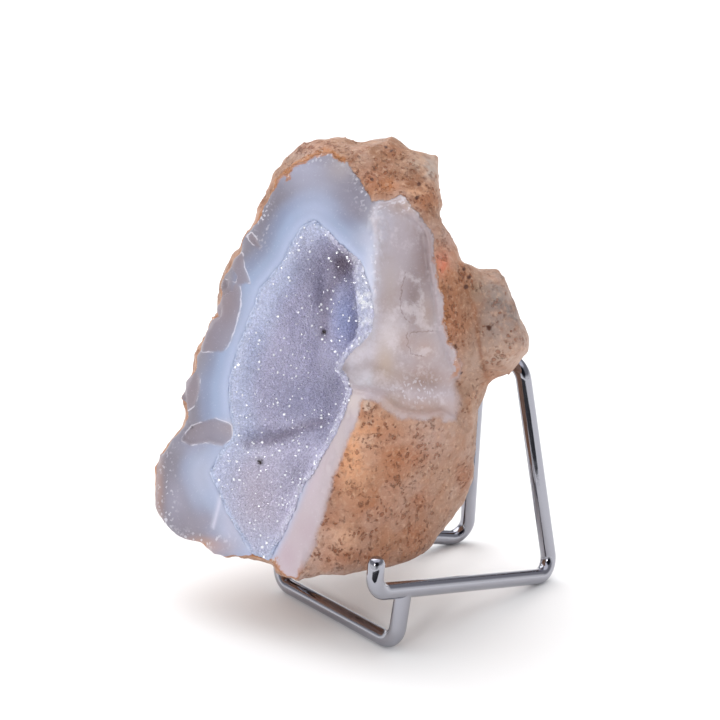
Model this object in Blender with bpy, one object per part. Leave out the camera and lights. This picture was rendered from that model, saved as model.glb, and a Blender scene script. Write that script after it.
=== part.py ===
"""Broken half of a chalcedony geode, lined with small quartz crystals, on a bent wire stand.

The shapes are worked out in millimetres, with +Y towards the back of the stand and z = 0 on the
surface that it stands on, and every mesh is moved and scaled to metres at the end. The stone is a
field: a function that is negative inside the stone. Its outlines are drawn as they are seen from one
viewpoint in front and to the right, in a picture 720 pixels wide.
"""

from math import ceil, cos, pi, radians, sin

import bmesh
import bpy
import numpy as np
from mathutils import Vector

MM = 0.001

# Wire stand
WIRE_DIAMETER = 3.0
WIRE_RADIUS = WIRE_DIAMETER / 2
WIRE_SIDES = 12
BEND_RADIUS = 3.4
HOOK_X, HOOK_Y = 18.4, -51.1
RAIL_FRONT_Z = 13.6
HOOK_TIP_Z = 19.8
BACK_CORNER_X, BACK_CORNER_Z = 11.95, 0.41
TOP_BAR_X, TOP_BAR_Y, TOP_BAR_Z = 5.8, -4.3, 42.7
FOOT_X, FOOT_Y = 16.75, -44.6
LEG_TOP_Y = -43.5
GAP = 0.3

# Viewpoint of the outlines
EYE = np.array([187.6, -195.5, 115.1])
VIEW_YAW, VIEW_PITCH, VIEW_ROLL = radians(50.22), radians(-15.34), radians(0.58)
VIEW_FOCAL_PX = 1434.8
VIEW_CENTRE_PX = 360.0
OUTLINE_DISTANCE = 270.0

# Broken face of the stone
FACE_AZIMUTH, FACE_TILT = 16.0, 17.0
FACE_OFFSET = 58.4
SKIN_SLOPE, SKIN_CURVE = 0.55, 0.021
WHITE_STEP = 1.2

# Hollow and its crust
HOLLOW_DEPTH = 12.0
HOLLOW_RUN = 7.5
LOWER_DEPTH_SHARE = 0.35
CRUST_THICKNESS = 2.4
CRUST_BORDER = 1.5
CRUST_GAP = 0.55
CRYSTAL_HEIGHT = 0.55

STONE_SPACING, STONE_TRIANGLES = 1.2, 5200
CRUST_SPACING, CRUST_TRIANGLES = 0.85, 1700

STONE_OUTLINE_PX = [
    (301, 143), (318, 139), (342, 137), (357, 145), (372, 141), (392, 138), (402, 144), (410, 150),
    (425, 155), (436, 158), (439, 176), (439, 192), (442, 202), (438, 214), (440, 224), (447, 234),
    (456, 248), (461, 262), (478, 269), (496, 270), (503, 278), (511, 296), (520, 320), (527, 336),
    (527, 350), (519, 362), (510, 372), (496, 375), (487, 381), (484, 395), (477, 412), (475, 440),
    (473, 478), (463, 503), (446, 527), (430, 550), (412, 567), (395, 573), (365, 573), (345, 578),
    (320, 575), (298, 583), (285, 579), (272, 564), (250, 559), (225, 556), (211, 556), (204, 545),
    (190, 545), (175, 541), (163, 525), (155, 508), (157, 480), (160, 458), (170, 440), (183, 425),
    (187, 414), (183, 400), (187, 385), (194, 372), (196, 355), (206, 333), (217, 314), (219, 292),
    (224, 272), (233, 256), (241, 250), (242, 240), (252, 225), (260, 206), (268, 188), (272, 173),
    (284, 160),
]
# The flat broken face runs past the outline at the left and the bottom
FACE_OUTLINE_PX = [
    (240, 215), (262, 196), (285, 176), (300, 164), (318, 156), (330, 153), (345, 163), (352, 172),
    (364, 190), (374, 205), (375, 260), (376, 300), (372, 330), (352, 346), (338, 369), (352, 388),
    (356, 400), (352, 414), (343, 434), (336, 452), (329, 472), (322, 497), (315, 522), (308, 546),
    (300, 562), (298, 640), (80, 640), (80, 300),
]
# Where the skin has broken away to the right of the hollow
WHITE_OUTLINE_PX = [
    (374, 208), (400, 200), (428, 232), (431, 262), (437, 292), (441, 322), (447, 345), (458, 372),
    (470, 400), (474, 425), (466, 436), (455, 420), (440, 412), (425, 416), (405, 413), (392, 408),
    (384, 398), (370, 393), (354, 392), (338, 369), (350, 350), (368, 335), (374, 300), (376, 250),
]
# Chips on the left of the broken face, and how deep they are in mm
CHIPS = [
    ([(226, 279), (241, 286), (241, 305), (237, 322), (231, 341), (224, 352), (200, 352), (200, 279)], 0.6),
    ([(222, 258), (243, 252), (245, 268), (251, 283), (240, 285), (226, 280), (210, 275)], 0.35),
    ([(251, 232), (257, 238), (263, 252), (252, 244), (246, 236)], 0.4),
    ([(186, 376), (200, 373), (200, 390), (195, 405), (188, 411), (176, 400)], 0.6),
    ([(192, 425), (214, 418), (232, 424), (233, 438), (222, 447), (206, 443), (190, 446), (180, 440)], 0.7),
]
HOLLOW_RIGHT_PX = [
    (322, 229), (335, 242), (347, 252), (358, 262), (366, 280), (370, 305), (370, 328), (362, 340),
    (348, 352), (337, 368), (346, 380), (350, 390), (346, 405), (335, 430), (325, 448), (313, 470),
    (300, 487), (293, 508), (284, 528), (275, 546),
]
HOLLOW_LEFT_PX = [
    (268, 557), (254, 552), (242, 532), (230, 512), (221, 492), (213, 472), (222, 455), (237, 437),
    (232, 410), (231, 385), (236, 362), (242, 343), (248, 328), (256, 308), (262, 290), (274, 276),
    (285, 262), (294, 243), (303, 230), (313, 222),
]
# Rounded lumps (height above 0) and creases in the hollow: centre and radii in pixels, height in mm
HOLLOW_LUMPS = [
    ((346, 318), (20, 34), 5.5), ((306, 402), (26, 26), 2.2), ((262, 398), (22, 24), 1.6),
    ((283, 318), (22, 34), 1.6), ((318, 244), (16, 20), 1.5), ((268, 492), (26, 40), 1.6),
    ((326, 296), (9, 26), -2.2), ((282, 436), (44, 8), -2.4), ((322, 352), (12, 22), -1.6),
]


def direction(azimuth, tilt):
    """Unit vector that looks azimuth degrees to the right of the front, and tilt degrees up."""
    a, t = radians(azimuth), radians(tilt)
    return np.array([sin(a) * cos(t), -cos(a) * cos(t), sin(t)])


def view_axes():
    """The right, up and forward axes of the outlines' viewpoint."""
    forward = np.array([
        -sin(VIEW_YAW) * cos(VIEW_PITCH),
        cos(VIEW_YAW) * cos(VIEW_PITCH),
        sin(VIEW_PITCH),
    ])
    level = np.array([cos(VIEW_YAW), sin(VIEW_YAW), 0.0])
    upright = np.cross(level, forward)
    right = cos(VIEW_ROLL) * level + sin(VIEW_ROLL) * upright
    up = -sin(VIEW_ROLL) * level + cos(VIEW_ROLL) * upright
    return right, up, forward


VIEW_RIGHT, VIEW_UP, VIEW_FORWARD = view_axes()


def seen_at(points):
    """Where points are seen, in mm across and up at the outlines' distance, and how far off."""
    offset = points - EYE
    depth = offset @ VIEW_FORWARD
    across = np.stack([offset @ VIEW_RIGHT, offset @ VIEW_UP], -1)
    return across * (OUTLINE_DISTANCE / depth)[..., None], depth


def from_pixels(pixels):
    """Pixels of the view, in mm across and up at the outlines' distance."""
    scale = OUTLINE_DISTANCE / VIEW_FOCAL_PX
    return (np.array(pixels, float) - VIEW_CENTRE_PX) * (scale, -scale)


class DistanceTable:
    """Distance to an outline in the view, negative inside a closed one, read from a fine table."""

    STEP = 0.5
    MARGIN = 14.0

    def __init__(self, pixels, closed=True):
        corners = from_pixels(pixels)
        self.low = corners.min(0) - self.MARGIN
        count = np.ceil((corners.max(0) + self.MARGIN - self.low) / self.STEP).astype(int) + 1
        index = np.stack(np.meshgrid(*(np.arange(n) for n in count), indexing="ij"), -1)
        spots = self.low + self.STEP * index
        nearest = np.full(spots.shape[:2], np.inf)
        inside = np.zeros(spots.shape[:2], bool)
        starts, ends = corners, np.roll(corners, -1, 0)
        if not closed:
            starts, ends = corners[:-1], corners[1:]
        for start, end in zip(starts, ends):
            run = end - start
            share = np.clip(((spots - start) @ run) / (run @ run), 0, 1)
            nearest = np.minimum(nearest, np.linalg.norm(spots - start - share[..., None] * run, axis=-1))
            spans = (start[1] > spots[..., 1]) != (end[1] > spots[..., 1])
            if closed and run[1] != 0:
                crossing = start[0] + (spots[..., 1] - start[1]) / run[1] * run[0]
                inside ^= spans & (spots[..., 0] < crossing)
        self.table = np.where(inside, -nearest, nearest)

    def __call__(self, seen):
        place = (seen - self.low) / self.STEP
        last = np.array(self.table.shape) - 1.001
        beyond = np.maximum(np.maximum(-place, place - last).max(-1), 0) * self.STEP
        place = np.clip(place, 0, last)
        i, j = place[..., 0].astype(int), place[..., 1].astype(int)
        s, t = place[..., 0] - i, place[..., 1] - j
        lower = self.table[i, j] * (1 - s) + self.table[i + 1, j] * s
        upper = self.table[i, j + 1] * (1 - s) + self.table[i + 1, j + 1] * s
        return lower * (1 - t) + upper * t + beyond


STONE_OUTLINE = DistanceTable(STONE_OUTLINE_PX)
FACE_OUTLINE = DistanceTable(FACE_OUTLINE_PX)
WHITE_OUTLINE = DistanceTable(WHITE_OUTLINE_PX)
HOLLOW_OUTLINE = DistanceTable(HOLLOW_RIGHT_PX + HOLLOW_LEFT_PX)
HOLLOW_LEFT = DistanceTable(HOLLOW_LEFT_PX, closed=False)
CHIP_TABLES = [(DistanceTable(pixels), depth) for pixels, depth in CHIPS]
LATTICE = np.random.RandomState(7).rand(32, 32, 32)


def smooth_max(a, b, width):
    """The larger of two fields, with the edge between them rounded over a width."""
    share = np.clip(0.5 + 0.5 * (a - b) / width, 0, 1)
    return b * (1 - share) + a * share + width * share * (1 - share)


def smooth_min(a, b, width):
    return -smooth_max(-a, -b, width)


def smooth_step(x, low, high):
    share = np.clip((x - low) / (high - low), 0, 1)
    return share * share * (3 - 2 * share)


def ellipsoid(points, centre, radii):
    offset = points - np.array(centre, float)
    radii = np.array(radii, float)
    reach = np.linalg.norm(offset / radii, axis=-1)
    slope = np.linalg.norm(offset / radii ** 2, axis=-1)
    return reach * (reach - 1) / np.maximum(slope, 1e-6)


def noise(points, size, seed):
    """Smooth random values between -1 and 1, in lumps of about the given size."""
    place = points / size + (1 + seed) * np.array([3.7, 11.3, 7.9])
    cell = np.floor(place).astype(int)
    share = place - cell
    share = share * share * (3 - 2 * share)
    total = 0
    for corner in np.ndindex(2, 2, 2):
        weight = np.prod(np.where(corner, share, 1 - share), -1)
        i, j, k = np.moveaxis((cell + corner) % len(LATTICE), -1, 0)
        total = total + weight * LATTICE[i, j, k]
    return 2 * total - 1


def face_field(points):
    return points @ direction(FACE_AZIMUTH, FACE_TILT) - FACE_OFFSET


def chipped(seen):
    """How deep the chips are at places of the view."""
    lowered = 0
    for table, depth in CHIP_TABLES:
        lowered = np.maximum(lowered, depth * smooth_step(-table(seen), -0.05, 0.35))
    return lowered


def skin_field(points):
    """Stone without its hollow: a rounded lump with a flat broken face, trimmed to its outline."""
    seen, depth = seen_at(points)
    back = ellipsoid(points, (-2, -52, 44), (42, 42, 66))
    left = ellipsoid(points, (8, -44, 34), (43.5, 60, 69))
    underside = ellipsoid(points, (0, -48, 60), (72, 62, 50))
    right = points @ direction(78, -8) - 19.2
    lump = smooth_max(smooth_max(back, left, 6), underside, 3)
    lump = smooth_max(lump, right, 4)

    beyond_face = np.maximum(FACE_OUTLINE(seen), 0)
    white = smooth_step(-WHITE_OUTLINE(seen), 0, 1)
    fall = SKIN_SLOPE * beyond_face + SKIN_CURVE * beyond_face ** 2 + WHITE_STEP * white
    face = face_field(points)
    lump = smooth_max(lump, face + fall, 2)

    knob = ellipsoid(points, (5, -14.2, 51), (13, 10, 14))
    lump = smooth_min(lump, knob, 1.5)
    left_hook_hollow = ellipsoid(points, (-25, -44, 11), (12, 11, 16))
    lump = smooth_max(lump, -left_hook_hollow, 3)

    lump = lump + 0.9 * noise(points, 12, 1) + 0.5 * noise(points, 5, 2)
    lump = smooth_max(lump, STONE_OUTLINE(seen) * depth / OUTLINE_DISTANCE, 2.5)
    return smooth_max(lump, face + chipped(seen) + 0.35 * noise(points, 16, 3), 0.8)


def hollow_floor(points, seen):
    """How deep the hollow is under the broken face, its crust of crystals included."""
    run = HOLLOW_LEFT(seen)
    lower = LOWER_DEPTH_SHARE + (1 - LOWER_DEPTH_SHARE) * smooth_step(seen[..., 1], -18, -8)
    floor = CRUST_THICKNESS + HOLLOW_DEPTH * (1 - np.exp(-run / HOLLOW_RUN)) * lower
    for centre, radii, height in HOLLOW_LUMPS:
        centre_seen = from_pixels([centre])[0]
        radii_seen = np.array(radii) * OUTLINE_DISTANCE / VIEW_FOCAL_PX
        reach = (((seen - centre_seen) / radii_seen) ** 2).sum(-1)
        fade = smooth_step(run, 0, 3)
        floor = floor - height * np.exp(-reach) * fade
    return floor + 0.5 * noise(points, 6, 4)


def hollow_field(points):
    """Negative inside the hollow that is cut into the stone."""
    seen, depth = seen_at(points)
    wall = HOLLOW_OUTLINE(seen) * depth / OUTLINE_DISTANCE
    return smooth_max(-(face_field(points) + hollow_floor(points, seen)), wall, 1.5)


def druse_surface(points):
    """Negative in the open space over the crust of crystals, which is thin at its border."""
    seen, depth = seen_at(points)
    floor = hollow_floor(points, seen) - CRUST_THICKNESS
    wall = HOLLOW_OUTLINE(seen) * depth / OUTLINE_DISTANCE + CRUST_BORDER
    return smooth_max(-(face_field(points) + floor), wall, 2.2)


def wire_field(points):
    """Distance to the surface of the stand's wires."""
    nearest = np.inf
    for start, end in wire_runs():
        run = end - start
        share = np.clip(((points - start) @ run) / (run @ run), 0, 1)
        away = np.linalg.norm(points - start - share[..., None] * run, axis=-1)
        nearest = np.minimum(nearest, away - WIRE_RADIUS)
    return nearest


def stone_field(points):
    stone = smooth_max(skin_field(points), -hollow_field(points), 1.0)
    return smooth_max(stone, GAP - wire_field(points), 0.4)


def crust_field(points):
    crust = smooth_max(hollow_field(points) + CRUST_GAP, -druse_surface(points), 0.3)
    return smooth_max(crust, skin_field(points) + 0.3, 0.6)


# A cube split into six four-cornered cells; a corner's number has a bit for each axis
CUBE_CELLS = [(0, 1, 3, 7), (0, 1, 5, 7), (0, 2, 3, 7), (0, 2, 6, 7), (0, 4, 5, 7), (0, 4, 6, 7)]


def crossed_edges(corners, inside):
    """Edges of four-cornered cells that the surface crosses, three for each triangle."""
    order = np.argsort(~inside, axis=1, kind="stable")
    corners = np.take_along_axis(corners, order, 1)
    count = inside.sum(1)
    triangles = []
    for number_inside, lone, others in ((1, 0, (1, 2, 3)), (3, 3, (0, 1, 2))):
        cell = corners[count == number_inside]
        triangles.append(np.stack([cell[:, [lone, other]] for other in others], 1))
    cell = corners[count == 2]
    loop = [cell[:, pair] for pair in ((0, 2), (0, 3), (1, 3), (1, 2))]
    triangles.append(np.stack([loop[0], loop[1], loop[2]], 1))
    triangles.append(np.stack([loop[0], loop[2], loop[3]], 1))
    return np.concatenate(triangles)


def surface_mesh(field, low, high, spacing):
    """Closed mesh of triangles where a field is zero, from its values on a grid."""
    low = np.array(low, float)
    count = [int(ceil(n)) + 1 for n in (np.array(high) - low) / spacing]
    index = np.stack(np.meshgrid(*(np.arange(n) for n in count), indexing="ij"), -1)
    value = np.stack([field(low + spacing * layer) for layer in index])
    spots = index.reshape(-1, 3)
    value = value.ravel()
    strides = np.array([count[1] * count[2], count[2], 1])
    axis_bits = np.array([[corner >> axis & 1 for axis in range(3)] for corner in range(8)])
    corner_steps = axis_bits @ strides
    cubes = (index[:-1, :-1, :-1].reshape(-1, 3) @ strides)[:, None] + corner_steps
    inside = value[cubes] < 0
    cubes = cubes[inside.any(1) & ~inside.all(1)]

    edges = []
    for cell in CUBE_CELLS:
        corners = cubes[:, cell]
        edges.append(crossed_edges(corners, value[corners] < 0))
    edges = np.concatenate(edges)
    edges = np.where((value[edges[..., 0]] < 0)[..., None], edges, edges[..., ::-1])
    pairs, triangles = np.unique(edges.reshape(-1, 2), axis=0, return_inverse=True)
    triangles = triangles.reshape(-1, 3)

    inner, outer = value[pairs[:, 0]], value[pairs[:, 1]]
    share = np.clip(inner / (inner - outer), 0.08, 0.92)[:, None]
    points = low + spacing * (spots[pairs[:, 0]] * (1 - share) + spots[pairs[:, 1]] * share)
    outward = (spots[pairs[:, 1]] - spots[pairs[:, 0]])[triangles].sum(1)
    first, second, third = np.moveaxis(points[triangles], 1, 0)
    flipped = (np.cross(second - first, third - first) * outward).sum(1) < 0
    triangles[flipped] = triangles[flipped][:, ::-1]
    return points, triangles


def new_object(name, points, faces):
    mesh = bpy.data.meshes.new(name)
    mesh.from_pydata([tuple(map(float, p)) for p in points], [], [tuple(map(int, f)) for f in faces])
    made = bpy.data.objects.new(name, mesh)
    bpy.context.scene.collection.objects.link(made)
    return made


def thin_out(made, triangles):
    """Merges small faces until about the given number of triangles is left, and keeps the result."""
    modifier = made.modifiers.new("thin out", "DECIMATE")
    modifier.ratio = triangles / len(made.data.polygons)
    thinned = bpy.data.meshes.new_from_object(made.evaluated_get(bpy.context.evaluated_depsgraph_get()))
    made.modifiers.clear()
    made.data = thinned
    thinned.name = made.name


def make_stone():
    made = new_object("stone", *surface_mesh(stone_field, (-38, -72, 6), (24, 2, 94), STONE_SPACING))
    thin_out(made, STONE_TRIANGLES)
    return made


def raise_crystals(made):
    """Gives each face of the crust's inner side a flat-sided crystal point."""
    shape = bmesh.new()
    shape.from_mesh(made.data)
    shape.normal_update()
    inner = []
    for face in shape.faces:
        corners = np.array([vert.co[:] for vert in face.verts])
        if (druse_surface(corners) < 0.3).all() and face.calc_area() > 0.5:
            inner.append(face)
    bmesh.ops.poke(shape, faces=inner, offset=CRYSTAL_HEIGHT)
    shape.to_mesh(made.data)
    shape.free()


def make_crust():
    made = new_object("quartz_druse", *surface_mesh(crust_field, (-34, -70, 8), (16, -18, 82), CRUST_SPACING))
    thin_out(made, CRUST_TRIANGLES)
    raise_crystals(made)
    return made


def frame_corners():
    """Corners of the main wire's centre line, from the right hook round the back to the left hook."""
    right = [
        (HOOK_X, HOOK_Y + 0.5, HOOK_TIP_Z - 1.1),
        (HOOK_X, HOOK_Y, RAIL_FRONT_Z),
        (BACK_CORNER_X, 0, BACK_CORNER_Z),
        (TOP_BAR_X, TOP_BAR_Y, TOP_BAR_Z),
    ]
    left = [(-x, y, z) for x, y, z in reversed(right)]
    return np.array(right + left, float)


def foot_corners():
    """Corners of the foot wire, whose ends stop just under the rails."""
    share = (LEG_TOP_Y - HOOK_Y) / (0 - HOOK_Y)
    rail_x = HOOK_X + (BACK_CORNER_X - HOOK_X) * share
    rail_z = RAIL_FRONT_Z + (BACK_CORNER_Z - RAIL_FRONT_Z) * share
    leg_top = rail_z - WIRE_RADIUS - GAP - 0.45
    floor_z = WIRE_RADIUS * cos(pi / WIRE_SIDES)
    right = [(rail_x, LEG_TOP_Y, leg_top), (FOOT_X, FOOT_Y, floor_z)]
    left = [(-x, y, z) for x, y, z in reversed(right)]
    return np.array(right + left, float)


def wire_runs():
    runs = []
    for corners in (frame_corners(), foot_corners()):
        runs += list(zip(corners[:-1], corners[1:]))
    return runs


def rounded_path(corners, bend_radius, steps=6):
    """Points along straight runs whose corners are arcs of one radius."""
    path = [corners[0]]
    for before, corner, after in zip(corners, corners[1:], corners[2:]):
        back = (before - corner) / np.linalg.norm(before - corner)
        on = (after - corner) / np.linalg.norm(after - corner)
        half_angle = 0.5 * np.arccos(np.clip(back @ on, -1, 1))
        middle = (back + on) / np.linalg.norm(back + on)
        centre = corner + middle * bend_radius / sin(half_angle)
        start = corner + back * bend_radius / np.tan(half_angle) - centre
        end = corner + on * bend_radius / np.tan(half_angle) - centre
        sweep = pi - 2 * half_angle
        for step in range(steps + 1):
            share = step / steps
            weight_start, weight_end = sin((1 - share) * sweep), sin(share * sweep)
            path.append(centre + (start * weight_start + end * weight_end) / sin(sweep))
    path.append(corners[-1])
    return np.array(path)


def wire_tube(name, path, side_hint, domed):
    """Round wire along a path, its ends domed or cut square. side_hint points across the first run."""
    along = np.gradient(path, axis=0)
    along /= np.linalg.norm(along, axis=1)[:, None]
    first = Vector(along[0])
    side = Vector(side_hint)
    side = (side - first * side.dot(first)).normalized()
    angles = (np.arange(WIRE_SIDES) + 0.5) * 2 * pi / WIRE_SIDES
    rings = []
    for spot, before, ahead in zip(path, np.roll(along, 1, 0), along):
        if len(rings) > 0:
            side = Vector(before).rotation_difference(Vector(ahead)) @ side
        across = np.array(side)
        other = np.cross(ahead, across)
        rings.append((spot, ahead, np.cos(angles)[:, None] * across + np.sin(angles)[:, None] * other))
    sections = [spot + WIRE_RADIUS * ring for spot, ahead, ring in rings]
    if domed:
        for share, reach in ((0.8, 0.7), (0.45, 1.1)):
            for end, sign in ((0, -1), (-1, 1)):
                spot, ahead, ring = rings[end]
                section = spot + sign * reach * ahead + share * WIRE_RADIUS * ring
                sections = [section] + sections if sign < 0 else sections + [section]
    points = np.concatenate(sections)
    n = WIRE_SIDES
    faces = []
    for row in range(len(sections) - 1):
        for i in range(n):
            j = (i + 1) % n
            faces.append((row * n + i, row * n + j, (row + 1) * n + j, (row + 1) * n + i))
    last = (len(sections) - 1) * n
    faces.append(tuple(reversed(range(n))))
    faces.append(tuple(range(last, last + n)))
    made = new_object(name, points, faces)
    made.data.shade_smooth()
    made.data.set_sharp_from_angle(angle=radians(40))
    return made


def make_frame():
    return wire_tube("stand_frame", rounded_path(frame_corners(), BEND_RADIUS), (1, 0, 0), True)


def make_foot():
    """The foot wire, turned so that its cross wire has a flat strip underneath."""
    corners = foot_corners()
    leg = corners[0] - corners[1]
    lean = leg[1] / leg[2]
    side = (1, lean * np.hypot(1, lean), 0)
    return wire_tube("stand_foot", rounded_path(corners, BEND_RADIUS), side, False)


def make_material(name, colour, roughness, metallic=0.0, transmission=0.0):
    made = bpy.data.materials.new(name)
    made.use_nodes = True
    shader = made.node_tree.nodes["Principled BSDF"]
    shader.inputs["Base Color"].default_value = (*colour, 1)
    shader.inputs["Roughness"].default_value = roughness
    shader.inputs["Metallic"].default_value = metallic
    shader.inputs["Transmission Weight"].default_value = transmission
    return made


def stand_on_origin(made):
    """Moves everything so that the middle of its base is at the origin, and turns mm into metres."""
    points = np.concatenate([[vert.co[:] for vert in one.data.vertices] for one in made])
    low, high = points.min(0), points.max(0)
    origin = np.array([(low[0] + high[0]) / 2, (low[1] + high[1]) / 2, low[2]])
    for one in made:
        for vert in one.data.vertices:
            vert.co = MM * (np.array(vert.co[:]) - origin)
        one.data.update()


def main():
    for old in list(bpy.data.objects):
        bpy.data.objects.remove(old)
    chrome = make_material("bright plated steel wire", (0.72, 0.73, 0.76), 0.12, metallic=1.0)
    made = {
        make_stone(): make_material("blue-grey chalcedony with tan skin", (0.68, 0.60, 0.58), 0.5),
        make_crust(): make_material("lavender quartz crystals", (0.62, 0.58, 0.70), 0.25),
        make_frame(): chrome,
        make_foot(): chrome,
    }
    for one, material in made.items():
        one.data.materials.clear()
        one.data.materials.append(material)
    stand_on_origin(list(made))


main()
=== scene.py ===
"""Looks of the chalcedony geode half on its wire stand.

The shapes are worked out in millimetres in the stand's own frame, as the solids are, and moved to
the frame that is loaded. The stone and the druse are made again from the same fields with finer
detail. Their colours are painted on the mesh by formula, and materials add what is finer.
"""

from math import ceil, cos, pi, radians, sin

import bpy
import numpy as np
from mathutils import Matrix, Vector


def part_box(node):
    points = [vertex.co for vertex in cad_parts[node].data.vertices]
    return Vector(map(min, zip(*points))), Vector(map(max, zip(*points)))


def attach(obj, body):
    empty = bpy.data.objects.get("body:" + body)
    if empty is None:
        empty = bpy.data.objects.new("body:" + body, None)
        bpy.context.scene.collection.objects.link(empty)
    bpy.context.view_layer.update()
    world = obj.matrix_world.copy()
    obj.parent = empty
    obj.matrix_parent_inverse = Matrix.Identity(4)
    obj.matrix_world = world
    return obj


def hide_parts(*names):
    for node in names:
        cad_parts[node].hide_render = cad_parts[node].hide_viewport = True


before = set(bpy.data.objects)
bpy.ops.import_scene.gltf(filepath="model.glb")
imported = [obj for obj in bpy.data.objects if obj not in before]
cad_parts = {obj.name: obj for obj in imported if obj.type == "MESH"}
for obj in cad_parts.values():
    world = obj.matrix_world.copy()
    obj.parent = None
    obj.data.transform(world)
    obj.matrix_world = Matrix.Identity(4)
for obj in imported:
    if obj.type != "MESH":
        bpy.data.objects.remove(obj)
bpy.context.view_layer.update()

MM = 0.001

# Wire stand
WIRE_DIAMETER = 3.0
WIRE_RADIUS = WIRE_DIAMETER / 2
WIRE_SIDES = 12
TUBE_SIDES = 36
BEND_RADIUS = 3.4
BEND_STEPS = 16
HOOK_X, HOOK_Y = 18.4, -51.1
RAIL_FRONT_Z = 13.6
HOOK_TIP_Z = 19.8
BACK_CORNER_X, BACK_CORNER_Z = 11.95, 0.41
TOP_BAR_X, TOP_BAR_Y, TOP_BAR_Z = 5.8, -4.3, 42.7
FOOT_X, FOOT_Y = 16.75, -44.6
LEG_TOP_Y = -43.5
GAP = 0.3
# How far the tops of the foot wire stop under the middle of the rails
LEG_TOP_DROP = WIRE_RADIUS + GAP + 0.45
# Share of the width, and reach, of the rings that round off the hooks' ends
DOME_RINGS = [(0.8, 0.7), (0.45, 1.1)]

# Viewpoint of the outlines
EYE = np.array([187.6, -195.5, 115.1])
VIEW_YAW, VIEW_PITCH, VIEW_ROLL = radians(50.22), radians(-15.34), radians(0.58)
VIEW_FOCAL_PX = 1434.8
PICTURE_PX = 720
VIEW_CENTRE_PX = PICTURE_PX / 2
SENSOR_WIDTH = 36
OUTLINE_DISTANCE = 270.0

# Broken face of the stone
FACE_AZIMUTH, FACE_TILT = 16.0, 17.0
FACE_OFFSET = 58.4
SKIN_SLOPE, SKIN_CURVE = 0.55, 0.021
WHITE_STEP = 1.2
# Where the white area's smoothness ends, and its colour, as places on the face's own axis
WHITE_BACK, WHITE_FADE = -18, -16

# Hollow and its crust
HOLLOW_DEPTH = 12.0
HOLLOW_RUN = 7.5
LOWER_DEPTH_SHARE = 0.35
CRUST_THICKNESS = 2.4
CRUST_GAP = 0.55

# Outline of the whole stone, in pixels of the view, and below it those of its parts
STONE_OUTLINE_PX = [
    (301, 143), (318, 139), (342, 137), (357, 145), (372, 141), (392, 138), (402, 144), (410, 150),
    (425, 155), (436, 158), (439, 176), (439, 192), (442, 202), (438, 214), (440, 224), (447, 234),
    (456, 248), (461, 262), (478, 269), (496, 270), (503, 278), (511, 296), (520, 320), (527, 336),
    (527, 350), (519, 362), (510, 372), (496, 375), (487, 381), (484, 395), (477, 412), (475, 440),
    (473, 478), (463, 503), (446, 527), (430, 550), (412, 567), (395, 573), (365, 573), (345, 578),
    (320, 575), (298, 583), (285, 579), (272, 564), (250, 559), (225, 556), (211, 556), (204, 545),
    (190, 545), (175, 541), (163, 525), (155, 508), (157, 480), (160, 458), (170, 440), (183, 425),
    (187, 414), (183, 400), (187, 385), (194, 372), (196, 355), (206, 333), (217, 314), (219, 292),
    (224, 272), (233, 256), (241, 250), (242, 240), (252, 225), (260, 206), (268, 188), (272, 173),
    (284, 160),
]
# The flat broken face runs past the outline at the left and the bottom
FACE_OUTLINE_PX = [
    (240, 215), (262, 196), (285, 176), (300, 164), (318, 156), (330, 153), (345, 163), (352, 172),
    (364, 190), (374, 205), (375, 260), (376, 300), (372, 330), (352, 346), (338, 369), (352, 388),
    (356, 400), (352, 414), (343, 434), (336, 452), (329, 472), (322, 497), (315, 522), (308, 546),
    (300, 562), (298, 640), (80, 640), (80, 300),
]
# Where the skin has broken away to the right of the hollow
WHITE_OUTLINE_PX = [
    (374, 208), (400, 200), (428, 232), (431, 262), (437, 292), (441, 322), (447, 345), (458, 372),
    (470, 400), (474, 425), (466, 436), (455, 420), (440, 412), (425, 416), (405, 413), (392, 408),
    (384, 398), (370, 393), (354, 392), (338, 369), (350, 350), (368, 335), (374, 300), (376, 250),
]
# The two edges of the hollow, the right one downwards and the left one upwards
HOLLOW_RIGHT_PX = [
    (322, 229), (335, 242), (347, 252), (358, 262), (366, 280), (370, 305), (370, 328), (362, 340),
    (348, 352), (337, 368), (346, 380), (350, 390), (346, 405), (335, 430), (325, 448), (313, 470),
    (300, 487), (293, 508), (284, 528), (275, 546),
]
HOLLOW_LEFT_PX = [
    (268, 557), (254, 552), (242, 532), (230, 512), (221, 492), (213, 472), (222, 455), (237, 437),
    (232, 410), (231, 385), (236, 362), (242, 343), (248, 328), (256, 308), (262, 290), (274, 276),
    (285, 262), (294, 243), (303, 230), (313, 222),
]
# Rounded lumps (height above 0) and creases in the hollow: centre and radii in pixels, height in mm
HOLLOW_LUMPS = [
    ((346, 318), (20, 34), 5.5), ((306, 402), (26, 26), 2.2), ((262, 398), (22, 24), 1.6),
    ((283, 318), (22, 34), 1.6), ((318, 244), (16, 20), 1.5), ((268, 492), (26, 40), 1.6),
    ((326, 296), (9, 26), -2.2), ((282, 436), (44, 8), -2.4), ((322, 352), (12, 22), -1.6),
]


def direction(azimuth, tilt):
    """Unit vector that looks azimuth degrees to the right of the front, and tilt degrees up."""
    a, t = radians(azimuth), radians(tilt)
    return np.array([sin(a) * cos(t), -cos(a) * cos(t), sin(t)])


def view_axes():
    """The right, up and forward axes of the outlines' viewpoint."""
    forward = np.array([
        -sin(VIEW_YAW) * cos(VIEW_PITCH),
        cos(VIEW_YAW) * cos(VIEW_PITCH),
        sin(VIEW_PITCH),
    ])
    level = np.array([cos(VIEW_YAW), sin(VIEW_YAW), 0.0])
    upright = np.cross(level, forward)
    right = cos(VIEW_ROLL) * level + sin(VIEW_ROLL) * upright
    up = -sin(VIEW_ROLL) * level + cos(VIEW_ROLL) * upright
    return right, up, forward


VIEW_RIGHT, VIEW_UP, VIEW_FORWARD = view_axes()


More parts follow.
